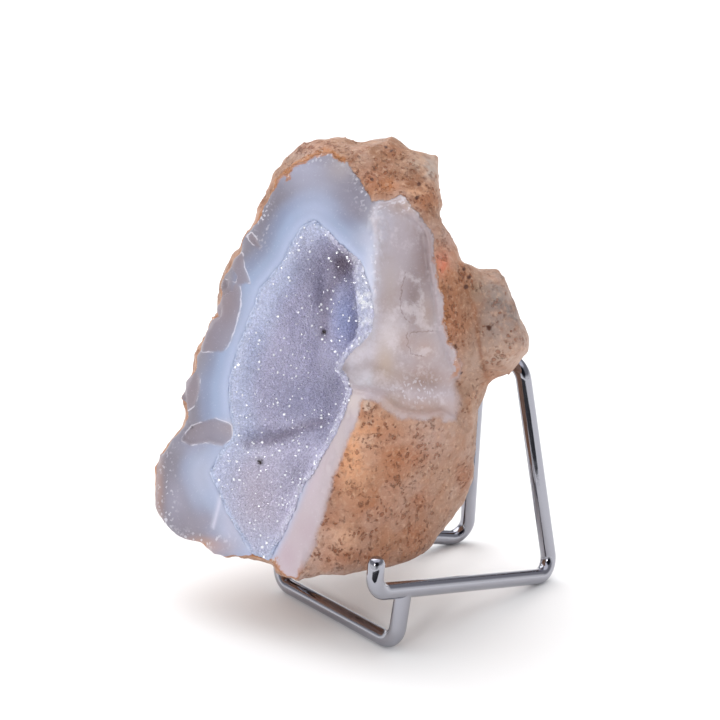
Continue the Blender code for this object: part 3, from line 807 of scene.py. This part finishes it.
def painted_hole_shade(pixels, facing):
    """1 in the middle of the holes of the skin, whose dark insides are painted shade."""
    deep = np.zeros(len(pixels))
    for centre, radius in HOLE_SHADE_PX:
        deep = np.maximum(deep, facing * spot(pixels, centre, (radius, radius)))
    return deep


def pit_clusters(pixels, facing):
    """How thickly small pits lie in the skin, from 0 to 1."""
    thick = np.full(len(pixels), 0.35)
    for centre, radii in PIT_CLUSTERS_PX:
        thick = np.maximum(thick, 1.2 * facing * spot(pixels, centre, radii))
    return np.minimum(thick, 1)


def inside_hollow(points, seen):
    return (HOLLOW_OUTLINE(seen) < 0.3) & (face_field(points) > -20) & (hollow_field(points) < 1.5)


def face_border(points, seen, pixels, lowered):
    """Distance past the border of the broken face, which takes in the top of its outer side."""
    wandering = 0.6 * noise(points, 2.6, 20) * smooth_step(pixels[:, 1], *WANDERING_PX)
    rind_depth = RIND_DEPTH + 0.6 * noise(points, 2.8, 23)
    behind = -face_field(points) - lowered - rind_depth
    border = np.maximum(FACE_OUTLINE(seen) + wandering, 3 * behind)
    return np.where(inside_hollow(points, seen), -3, border)


def white_border(points, seen, pixels, facing, soft):
    """Distance past the border of the white area, where the surface faces the view."""
    border = WHITE_OUTLINE(seen) - 0.5 + spots(pixels, RAISED_PX)
    border = border + (0.5 + soft) * noise(points, 2.4, 19)
    border = np.maximum(border, WHITE_FADE - face_field(points))
    return np.where(facing > 0.1, border, 6)


def crack_distance(pixels, facing):
    """Distance in mm to the hairline cracks, negative on one side of them, and 9 away from them."""
    crack = np.full(len(pixels), 9.0)
    for corners in CRACKS_PX:
        sided, near = side_of_line(pixels, corners)
        crack = np.where(near & (facing > 0.2), sided * OUTLINE_DISTANCE / VIEW_FOCAL_PX, crack)
    return crack


def make_stone():
    value, low = sampled(fine_stone_field, stone_field, *STONE_BOX, FINE_SPACING)
    points, faces = net_mesh(value, low, FINE_SPACING)
    made = new_piece("geode_stone", points, faces)
    made.data.shade_smooth()
    seen = seen_at(points)[0]
    pixels = pixels_of(seen)
    facing = facing_view(points, normals_of(made))
    lowered, chip_edge = chipped(seen)
    soft = spots(pixels, SOFT_PX)
    beside_band = beside_line(pixels, BAND_BORDER_PX, 14)
    on_face = face_border(points, seen, pixels, lowered)
    on_white = white_border(points, seen, pixels, facing, soft)
    left_rind = (pixels[:, 0] < RIND_RIGHT_PX) * (WHITE_OUTLINE(seen) > 2) * (1 - beside_band)
    right_rind = beside_line(pixels, WHITE_BORDER_PX, 8)
    values = {
        "soft": np.maximum(8 * soft, 4 * beside_band),
        "chip_edge": np.clip(np.where(face_field(points) > -4, chip_edge, 9), -9, 9),
        "rind": np.maximum(left_rind, right_rind),
        "skin_side": np.minimum(np.minimum(on_face, on_white), 6),
        "white_side": on_white,
        "crack": crack_distance(pixels, facing),
        "pitted": pit_clusters(pixels, facing),
        # painted shade in the skin's holes
        "hole_shade": painted_hole_shade(pixels, facing),
        "flecked": sum(spot(pixels, centre, radii) for centre, radii in FLECKED_PX),
        "pit": pits(points),
    }
    for name, value in values.items():
        set_value(made, name, value)
    set_colour(made, "chalcedony", paint_chalcedony(points, seen, pixels))
    beside_white = smooth_step(-on_white, -2.2, -0.2) * (1 - spot(pixels, *DARK_BORDER_PX))
    skin = blend(paint_skin(points, pixels, facing), paint(178, 142, 126), 0.8 * beside_white)
    set_colour(made, "skin", skin)
    made.data.materials.append(stone_material())
    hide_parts("stone")


# Soft patches on the druse, its own tones and some painted shade, and the creases and small holes in it,
# painted dark as painted shade
DRUSE_TONES_AND_SHADE = [
    # Painted shade: the first patch, along the crease, and the dark one at (342, 265), under the
    # overhang
    ((320, 292), (14, 40), 0.7, (158, 152, 176)), ((306, 262), (14, 26), 0.6, (164, 160, 184)),
    ((342, 265), (13, 16), 0.95, (92, 72, 86)), ((344, 318), (15, 34), 0.95, (146, 154, 196)),
    ((300, 402), (28, 26), 0.8, (158, 157, 187)), ((334, 384), (14, 26), 0.7, (148, 146, 170)),
    ((322, 430), (16, 16), 0.6, (152, 150, 178)), ((256, 500), (30, 50), 0.9, (185, 176, 194)),
    ((298, 474), (16, 22), 0.7, (162, 157, 180)), ((364, 292), (8, 46), 0.95, (184, 188, 212)),
]
# Creases, painted darker as painted shade
CREASE_SHADE_PX = [
    [(352, 258), (344, 270), (332, 286), (325, 305), (324, 336)],
    [(248, 444), (276, 440), (300, 428), (322, 422)],
]
# Small holes in the druse, painted near black as painted shade, since the mesh doesn't cut them
PIT_SHADE_PX = [(324, 332), (260, 462)]
PIT_SHADE_RADII = (2.6, 2.6)
# Centre and radii of the place at the upper right where the druse is speckled white, partly pale
# crystals and partly painted sparkle
SPECKLED_PX = (364, 295), (9, 46)


def paint_druse(points):
    seen = seen_at(points)[0]
    pixels = pixels_of(seen)
    from_left = HOLLOW_LEFT(seen)
    from_edge = -HOLLOW_OUTLINE(seen)
    colour = np.zeros((len(points), 3)) + paint(196, 201, 229)
    colour = blend(colour, paint(203, 199, 225), smooth_step(from_left, 2, 6.5))
    colour = laid_over(colour, pixels, DRUSE_TONES_AND_SHADE)
    # Painted shade along the creases
    for corners in CREASE_SHADE_PX:
        colour = blend(colour, paint(130, 118, 136), 0.5 * beside_line(pixels, corners, 6))
    right_edge = smooth_step(from_left, 2, 4)
    on_rim = smooth_step(-from_edge, -0.5, 0.3) * (1 - right_edge)
    colour = blend(colour, paint(188, 199, 230) * FACE_SHARE, 0.8 * on_rim)
    sugar = smooth_step(-from_edge, -0.9, -0.1) * smooth_step(noise(points, 0.5, 15), -0.5, 0.3)
    colour = blend(colour, paint(222, 222, 236), (0.15 + 0.3 * right_edge) * sugar)
    # White specks, partly pale crystals and partly painted sparkle
    speckled = spot(pixels, *SPECKLED_PX) * smooth_step(noise(points, 0.7, 26), 0.0, 0.4)
    colour = blend(colour, paint(244, 244, 252), 0.8 * speckled)
    # Painted shade in the small holes
    for centre in PIT_SHADE_PX:
        colour = blend(colour, paint(38, 26, 26), 1.3 * spot(pixels, centre, PIT_SHADE_RADII))
    return colour


POINT_SIDES = 6
POINTS_PER_FACE = 4
# The small crystals are parted into two pieces at this height
POINTS_SPLIT_Z = 42
# Share of the crystals that are large, and of those whose flat end catches the light and is painted
# near-white as a painted glint
LARGE_SHARE, GLINT_SHARE = 0.03, 0.01
# The side that the low glinting light comes from
GLINT_SIDE = (0.4, -0.82, 0.42)


def crystal_points(places, normals, seed, lean, radius, spread, slender, point):
    """Six-sided crystal points on a surface, as flat triangles that share no corner."""
    random = np.random.RandomState(seed)
    count = len(places)
    axis = unit(normals + lean * random.randn(count, 3))
    side = unit(np.cross(axis, random.randn(count, 3)))
    other = np.cross(axis, side)
    radius = radius * (1 - spread + 2 * spread * random.rand(count))[:, None]
    height = radius * (slender * (0.7 + 0.6 * random.rand(count)))[:, None]
    tip_shift = 0.25 * radius * random.randn(count, 1)
    tip = places + axis * (height + point * radius) + side * tip_shift
    corners = []
    for i in range(POINT_SIDES):
        angle = 2 * pi * i / POINT_SIDES
        around = radius * (cos(angle) * side + sin(angle) * other) * (0.7 + 0.6 * random.rand(count, 1))
        corners.append((places - 0.2 * axis + around, places + axis * height + around))
    triangles = []
    for i in range(POINT_SIDES):
        foot, shoulder = corners[i]
        next_foot, next_shoulder = corners[(i + 1) % POINT_SIDES]
        triangles.append((shoulder, next_shoulder, tip))
        if slender > 0:
            triangles.append((foot, next_foot, next_shoulder))
            triangles.append((foot, next_shoulder, shoulder))
    return np.stack([np.stack(one, 1) for one in triangles], 1)


def glinting_normals(places):
    """The way that flat crystal ends face when they send the low light to the outlines' viewpoint."""
    return unit(unit(EYE - places) + unit(np.array(GLINT_SIDE)))


def scattered(quads, random):
    """Random places on four-sided faces, and the way out of the surface there."""
    quads = np.repeat(quads, POINTS_PER_FACE, 0)
    along, across = random.rand(2, len(quads), 1)
    near = quads[:, 0] + along * (quads[:, 1] - quads[:, 0])
    far = quads[:, 3] + along * (quads[:, 2] - quads[:, 3])
    outward = unit(np.cross(quads[:, 2] - quads[:, 0], quads[:, 3] - quads[:, 1]))
    return near + across * (far - near), outward


def make_druse():
    value, low = sampled(fine_crust_field, crust_field, *CRUST_BOX, FINE_SPACING)
    points, faces = net_mesh(value, low, FINE_SPACING)
    made = new_piece("druse_floor", points, faces)
    made.data.shade_smooth()
    set_colour(made, "druse", paint_druse(points))
    made.data.materials.append(druse_material("druse floor", 0.35))
    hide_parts("quartz_druse")
    quads = points[faces]
    make_crystals(quads[hollow_field(quads.mean(1)) < 0.35])


def make_crystals(quads):
    """Small, larger and glinting crystals on the faces of the druse's floor."""
    random = np.random.RandomState(5)
    places, outward = scattered(quads, random)
    pick = random.rand(len(places))
    large = pick < LARGE_SHARE
    glint = pick > 1 - GLINT_SHARE
    shining = places[glint]
    small = crystal_points(
        places, outward, seed=1, lean=0.3, radius=0.19, spread=0.4, slender=0.0, point=0.65)
    larger = crystal_points(
        places[large], outward[large],
        seed=2, lean=0.4, radius=0.24, spread=0.4, slender=0.3, point=0.65)
    flat = crystal_points(
        shining + 0.15 * outward[glint], glinting_normals(shining),
        seed=4, lean=0.02, radius=0.14, spread=0.85, slender=0.3, point=0.05)
    upper = places[:, 2] > POINTS_SPLIT_Z
    crystal_piece("druse_points_upper", small[upper])
    crystal_piece("druse_points_lower", small[~upper])
    crystal_piece("druse_crystals", np.concatenate([larger, flat]), len(flat))


def crystal_piece(name, crystals, shining=0):
    """One piece of crystals, the last of them painted near-white as painted glints."""
    random = np.random.RandomState(len(crystals))
    corners = crystals.reshape(-1, 3)
    made = new_piece(name, corners, np.arange(len(corners)).reshape(-1, 3))
    colours = paint_druse(crystals.reshape(len(crystals), -1, 3).mean(1))
    colours = np.minimum(colours * (0.86 + 0.34 * random.rand(len(colours), 1)), 0.98)
    # painted glints on the last crystals
    bright = np.arange(len(colours)) >= len(colours) - shining
    colours = blend(colours, paint(244, 244, 252), bright)
    set_colour(made, "druse", np.repeat(colours, len(corners) // len(crystals), 0), "CORNER")
    made.data.materials.append(druse_material(name.replace("_", " "), 0.1))


class Nodes:
    """Short calls that add nodes to a new material, or to the world, and join them."""

    def __init__(self, owner):
        owner.use_nodes = True
        self.owner = owner
        self.tree = owner.node_tree

    def feed(self, socket, value):
        if isinstance(value, bpy.types.NodeSocket):
            self.tree.links.new(value, socket)
        elif socket.type == "RGBA":
            socket.default_value = (*value, 1)
        else:
            socket.default_value = value

    def add(self, kind, inputs=None, **settings):
        """A new node, with its settings made first and its inputs fed after them."""
        node = self.tree.nodes.new("ShaderNode" + kind)
        for name, value in settings.items():
            setattr(node, name, value)
        for name, value in (inputs or {}).items():
            self.feed(node.inputs[name], value)
        return node

    def set(self, **values):
        """Feed the material's own shader."""
        for name, value in values.items():
            self.feed(self.tree.nodes["Principled BSDF"].inputs[name.replace("_", " ")], value)

    def attribute(self, name, output="Fac"):
        return self.add("Attribute", attribute_name=name).outputs[output]

    def place(self):
        return self.add("TexCoord").outputs["Object"]

    def noise(self, scale, detail=3.0, roughness=0.6):
        inputs = {"Vector": self.place(), "Scale": scale, "Detail": detail, "Roughness": roughness}
        return self.add("TexNoise", inputs).outputs["Fac"]

    def cells(self, scale, wobble=0.0):
        """Round cells, whose places are shifted by up to the wobble, in metres."""
        shift = self.add("TexNoise", {"Vector": self.place(), "Scale": 1.3 * scale})
        inputs = {0: shift.outputs["Color"], 1: (wobble, wobble, wobble), 2: self.place()}
        shifted = self.add("VectorMath", inputs, operation="MULTIPLY_ADD")
        return self.add("TexVoronoi", {"Vector": shifted.outputs[0], "Scale": scale}).outputs

    def math(self, operation, a, b=0.0):
        return self.add("Math", {0: a, 1: b}, operation=operation).outputs[0]

    def plus(self, a, b):
        return self.math("ADD", a, b)

    def minus(self, a, b):
        return self.math("SUBTRACT", a, b)

    def times(self, a, b):
        return self.math("MULTIPLY", a, b)

    def most(self, a, b):
        return self.math("MAXIMUM", a, b)

    def step(self, value, low, high, to_low=0.0, to_high=1.0):
        inputs = {"Value": value, "From Min": low, "From Max": high, "To Min": to_low, "To Max": to_high}
        return self.add("MapRange", inputs, interpolation_type="SMOOTHSTEP").outputs["Result"]

    def layers(self, colour, layers):
        """A colour with others laid over it in turn, each given with its weight."""
        for weight, other in layers:
            colour = self.mix(weight, colour, paint(*other))
        return colour

    def mix(self, weight, a, b, blend_type="MIX"):
        inputs = {0: weight, 6: a, 7: b}
        return self.add("Mix", inputs, data_type="RGBA", blend_type=blend_type).outputs[2]

    def bump(self, height, distance, strength=1.0):
        inputs = {"Height": height, "Distance": distance, "Strength": strength}
        self.set(Normal=self.add("Bump", inputs).outputs["Normal"])

    def ramp(self, value, stops):
        """Colours that pass from stop to stop, each a place and a colour."""
        node = self.add("ValToRGB", {"Fac": value})
        elements = node.color_ramp.elements
        for i, (position, colour) in enumerate(stops):
            element = elements[i] if i < len(elements) else elements.new(position)
            element.position = position
            element.color = (*colour, 1)
        return node.outputs["Color"]


def new_material(name):
    return Nodes(bpy.data.materials.new(name))


def face_colour(made, grain):
    """Colour of the broken face and the white area, with flecks, chip edges and cracks."""
    on_white = made.step(made.attribute("white_side"), 0.5, -0.5)
    dull = made.times(made.step(made.noise(180, 7, 0.75), 0.45, 0.62, 0, 0.3), on_white)
    milky = made.times(made.step(made.noise(260, 6, 0.7), 0.5, 0.66, 0, 0.4), on_white)
    rim = made.plus(made.attribute("chip_edge"), made.step(grain, 0.3, 0.7, -0.1, 0.1))
    rim = made.step(made.math("ABSOLUTE", rim), 0.16, 0.05)
    rim = made.times(rim, made.step(made.noise(240, 2), 0.46, 0.56, 0, 0.5))
    fleck = made.times(made.step(made.cells(2400)["Color"], 0.74, 0.78), made.attribute("flecked"))
    crack = made.plus(made.attribute("crack"), made.step(grain, 0.3, 0.7, -0.25, 0.25))
    crack = made.step(made.math("ABSOLUTE", crack), 0.14, 0.05)
    return made.layers(made.attribute("chalcedony", "Color"), [
        (made.step(made.noise(2600, 2), 0.6, 0.75, 0, 0.12), (240, 240, 250)),
        (dull, (158, 136, 130)),
        (milky, (222, 214, 220)),
        (rim, (232, 228, 238)),
        (made.times(fleck, 0.6), (226, 224, 234)),
        (made.times(crack, 0.45), (110, 84, 78)),
    ])


def skin_pits(made, on_skin):
    """How dark the pits of the skin are: dots, broken rings, blotches and the mesh's own pits."""
    dots = made.cells(1150, 0.0005)
    dot_size = made.step(dots["Color"], 0.1, 1.0, -0.08, 0.45)
    dot = made.step(made.minus(dots["Distance"], dot_size), 0.06, -0.06)
    rings = made.cells(560, 0.0009)
    ring_size = made.step(rings["Color"], 0.45, 1.0, -0.12, 0.42)
    ring = made.math("ABSOLUTE", made.minus(rings["Distance"], ring_size))
    ring = made.times(made.step(ring, 0.14, 0.02), made.step(ring_size, 0.0, 0.05))
    ring = made.times(ring, made.step(made.noise(700, 2), 0.45, 0.58))
    blotch = made.times(made.step(made.noise(950, 5, 0.7), 0.56, 0.64), 0.75)
    thick = made.minus(made.attribute("pitted"), made.step(made.noise(260, 3), 0.4, 0.6, 0.4, 0.0))
    pit = made.times(made.most(dot, made.most(ring, blotch)), made.step(thick, 0.0, 0.5))
    return made.times(made.most(pit, made.times(made.attribute("pit"), 0.3)), on_skin)


def skin_colour(made, pit):
    """Colour of the outer skin, with its grain, pits and the painted shade in its holes."""
    return made.layers(made.attribute("skin", "Color"), [
        (made.step(made.noise(300, 4), 0.45, 0.7, 0, 0.3), (170, 108, 66)),
        (made.step(made.noise(1300), 0.5, 0.7, 0, 0.35), (212, 176, 150)),
        (made.step(made.noise(800), 0.5, 0.3, 0, 0.4), (134, 88, 60)),
        (made.times(pit, 0.75), (134, 72, 32)),
        # painted shade in the holes of the skin
        (made.step(made.attribute("hole_shade"), 0.3, 0.75), (84, 38, 12)),
    ])


def stone_material():
    made = new_material("chalcedony and skin")
    grain = made.noise(900, 4)
    frayed = made.step(made.noise(430, 7, 0.75), 0.25, 0.75, -0.55, 0.55)
    side = made.plus(made.attribute("skin_side"), frayed)
    on_skin = made.step(made.math("DIVIDE", side, made.plus(made.attribute("soft"), 1.0)), 0.1, 0.45)
    pit = skin_pits(made, on_skin)
    rind = made.times(made.step(side, -0.25, 0.1), made.step(side, 1.3, 0.5))
    rind = made.times(rind, made.attribute("rind"))
    specks = made.step(made.noise(1100), 0.6, 0.68, 0, 0.7)
    colour = made.mix(on_skin, face_colour(made, grain), skin_colour(made, pit))
    colour = made.layers(colour, [
        (made.times(rind, 0.75), (176, 110, 52)),
        (made.times(rind, specks), (226, 208, 194)),
    ])
    height = made.plus(made.times(grain, on_skin), made.times(pit, -1.2))
    made.bump(made.plus(height, made.times(made.noise(500, 4), 0.25)), 0.0003)
    roughness = made.mix(on_skin, (0.36, 0.36, 0.36), (0.5, 0.5, 0.5))
    made.set(Base_Color=colour, Roughness=roughness, IOR=1.54, Subsurface_Weight=0.25,
             Subsurface_Scale=0.0015, Subsurface_Radius=(1.0, 0.8, 0.8))
    return made.owner


def druse_material(name, roughness):
    made = new_material(name)
    made.set(Base_Color=made.attribute("druse", "Color"), Roughness=roughness, IOR=1.54,
             Subsurface_Weight=0.15, Subsurface_Scale=0.001, Subsurface_Radius=(1.0, 0.85, 1.0))
    return made.owner


def chrome_material():
    made = new_material("bright chromed wire")
    made.bump(made.noise(300), 0.00003, 0.3)
    roughness = made.step(made.noise(900), 0.3, 0.8, 0.05, 0.14)
    made.set(Base_Color=(0.36, 0.36, 0.4), Roughness=roughness, Metallic=1.0)
    return made.owner


def frame_corners():
    """Corners of the main wire's centre line, from the right hook round the back to the left hook."""
    right = [
        (HOOK_X, HOOK_Y + 0.5, HOOK_TIP_Z - 1.1),
        (HOOK_X, HOOK_Y, RAIL_FRONT_Z),
        (BACK_CORNER_X, 0, BACK_CORNER_Z),
        (TOP_BAR_X, TOP_BAR_Y, TOP_BAR_Z),
    ]
    left = [(-x, y, z) for x, y, z in reversed(right)]
    return np.array(right + left, float)


def foot_corners(reach=0.0):
    """Corners of the foot wire, whose ends stop just under the rails, or reach further up."""
    share = (LEG_TOP_Y - HOOK_Y) / (0 - HOOK_Y)
    rail_x = HOOK_X + (BACK_CORNER_X - HOOK_X) * share
    rail_z = RAIL_FRONT_Z + (BACK_CORNER_Z - RAIL_FRONT_Z) * share
    leg_top = rail_z - LEG_TOP_DROP + reach
    floor_z = WIRE_RADIUS * cos(pi / WIRE_SIDES)
    right = [(rail_x, LEG_TOP_Y, leg_top), (FOOT_X, FOOT_Y, floor_z)]
    left = [(-x, y, z) for x, y, z in reversed(right)]
    return np.array(right + left, float)


def wire_runs():
    runs = []
    for corners in (frame_corners(), foot_corners()):
        runs += list(zip(corners[:-1], corners[1:]))
    return runs


def rounded_path(corners):
    """Points along straight runs whose corners are arcs of one radius."""
    path = [corners[0]]
    for before, corner, after in zip(corners, corners[1:], corners[2:]):
        back, on = unit(before - corner), unit(after - corner)
        half_angle = 0.5 * np.arccos(np.clip(back @ on, -1, 1))
        centre = corner + unit(back + on) * BEND_RADIUS / sin(half_angle)
        start = corner + back * BEND_RADIUS / np.tan(half_angle) - centre
        end = corner + on * BEND_RADIUS / np.tan(half_angle) - centre
        sweep = pi - 2 * half_angle
        for share in np.arange(BEND_STEPS + 1) / BEND_STEPS:
            turned = start * sin((1 - share) * sweep) + end * sin(share * sweep)
            path.append(centre + turned / sin(sweep))
    path.append(corners[-1])
    return np.array(path)


def wire_sections(path, domed):
    """Rings of points round a path, the last ones drawn in where its ends are domed."""
    along = unit(np.gradient(path, axis=0))
    first = Vector(along[0])
    side = Vector((1, 0, 0))
    side = (side - first * side.dot(first)).normalized()
    angles = (np.arange(TUBE_SIDES) + 0.5) * 2 * pi / TUBE_SIDES
    rings = []
    for ahead, before in zip(along, np.roll(along, 1, 0)):
        if len(rings) > 0:
            side = Vector(before).rotation_difference(Vector(ahead)) @ side
        across = np.array(side)
        other = np.cross(ahead, across)
        rings.append(np.cos(angles)[:, None] * across + np.sin(angles)[:, None] * other)
    sections = [middle + WIRE_RADIUS * ring for middle, ring in zip(path, rings)]
    if domed:
        for share, reach in DOME_RINGS:
            start = path[0] - reach * along[0] + share * WIRE_RADIUS * rings[0]
            end = path[-1] + reach * along[-1] + share * WIRE_RADIUS * rings[-1]
            sections = [start, *sections, end]
    return sections


def make_wire(name, corners, node, domed):
    """Round wire along a path with rounded bends, its ends domed or cut square."""
    sections = wire_sections(rounded_path(corners), domed)
    index = np.arange(len(sections) * TUBE_SIDES).reshape(-1, TUBE_SIDES)
    beside = np.roll(index, -1, 1)
    walls = np.stack([index[:-1], beside[:-1], beside[1:], index[1:]], -1).reshape(-1, 4)
    faces = [*walls, index[0][::-1], index[-1]]
    made = new_piece(name, np.concatenate(sections), faces)
    made.data.shade_smooth()
    made.data.set_sharp_from_angle(angle=radians(40))
    made.data.materials.append(chrome_material())
    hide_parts(node)


# Corners of the floor, and of the dark card in front, out of the picture, for the wire to reflect
FLOOR_CORNERS = [(-40000, -40000), (40000, -40000), (40000, 40000), (-40000, 40000)]
CARD_CORNERS = [
    (36, -72), (50, -64), (78, -61), (150, -40), (300, -60), (300, -300), (60, -300), (26, -100),
]
# The dark side of the world, and the grey band that reflections alone show: places and colours
DARK_SIDE = (0.75, -0.45, 0.48)
DARK_STOPS = [(0.84, (1, 1, 1)), (0.93, (0.05, 0.05, 0.06))]
BAND_STOPS = [
    (0.12, (1, 1, 1)), (0.3, (0.3, 0.3, 0.33)), (0.7, (0.3, 0.3, 0.324)), (0.85, (1, 1, 1.08)),
]
WORLD_STRENGTH = 1.13


def stage_sheet(name, corners, height, **looks):
    """A flat sheet that isn't part of the object, with its corners and height in mm."""
    made = new_mesh(name, [(*corner, height) for corner in corners], [range(len(corners))])
    material = new_material(name.replace("_", " "))
    material.set(**looks)
    made.data.materials.append(material.owner)
    return made


def make_floor():
    looks = {"Base_Color": (0.9, 0.9, 0.91), "Roughness": 0.7, "Specular_IOR_Level": 0.2}
    stage_sheet("floor", FLOOR_CORNERS, 0, **looks)


def make_card():
    """Dark card that only the wire's reflections show."""
    made = stage_sheet("dark_card", CARD_CORNERS, 0.2, Base_Color=(0.01, 0.01, 0.015), Roughness=0.8)
    made.visible_camera = False
    made.visible_diffuse = False
    made.visible_shadow = False


def make_light(name, from_side, spread, strength):
    """Soft light that comes from one side over the whole scene."""
    data = bpy.data.lights.new(name, "SUN")
    data.angle = radians(spread)
    data.energy = strength
    made = new_object(name, data)
    made.rotation_euler = Matrix(axes_looking(-np.array(from_side, float))).to_euler()


def axes_looking(ahead):
    """Rotation whose -Z looks ahead, with +Y as far up as it can be."""
    back = unit(-ahead)
    across = unit(np.cross((0, 0, 1), back))
    return np.stack([across, np.cross(back, across), back], 1).tolist()


def make_world():
    """White all round, with a dark place at the right and, for reflections alone, a grey band."""
    world = bpy.data.worlds.new("studio")
    bpy.context.scene.world = world
    made = Nodes(world)
    towards = made.add("TexCoord").outputs["Generated"]
    dark = made.add("VectorMath", {0: towards, 1: DARK_SIDE}, operation="DOT_PRODUCT").outputs["Value"]
    height = made.add("SeparateXYZ", {0: towards}).outputs["Z"]
    reflected = made.add("LightPath").outputs["Is Glossy Ray"]
    colour = made.mix(reflected, made.ramp(dark, DARK_STOPS), made.ramp(height, BAND_STOPS), "MULTIPLY")
    background = made.tree.nodes["Background"]
    made.feed(background.inputs["Color"], colour)
    background.inputs["Strength"].default_value = WORLD_STRENGTH
    bpy.context.scene.view_settings.view_transform = "Standard"


def make_camera():
    data = bpy.data.cameras.new("camera")
    data.sensor_width = SENSOR_WIDTH
    data.lens = SENSOR_WIDTH * VIEW_FOCAL_PX / PICTURE_PX
    data.clip_start = 0.01
    made = new_object("camera", data)
    turn = np.stack([VIEW_RIGHT, VIEW_UP, -VIEW_FORWARD], 1)
    made.rotation_euler = Matrix(turn.tolist()).to_euler()
    made.location = (EYE + SHIFT) * MM
    bpy.context.scene.camera = made


make_camera()
make_world()
make_floor()
make_card()
make_light("key", from_side=(-0.6, 0.1, 0.85), spread=60, strength=1.5)
make_light("glint", from_side=GLINT_SIDE, spread=8, strength=0.6)
make_stone()
make_druse()
make_wire("frame_wire", frame_corners(), "stand_frame", domed=True)
make_wire("foot_wire", foot_corners(LEG_TOP_DROP), "stand_foot", domed=False)
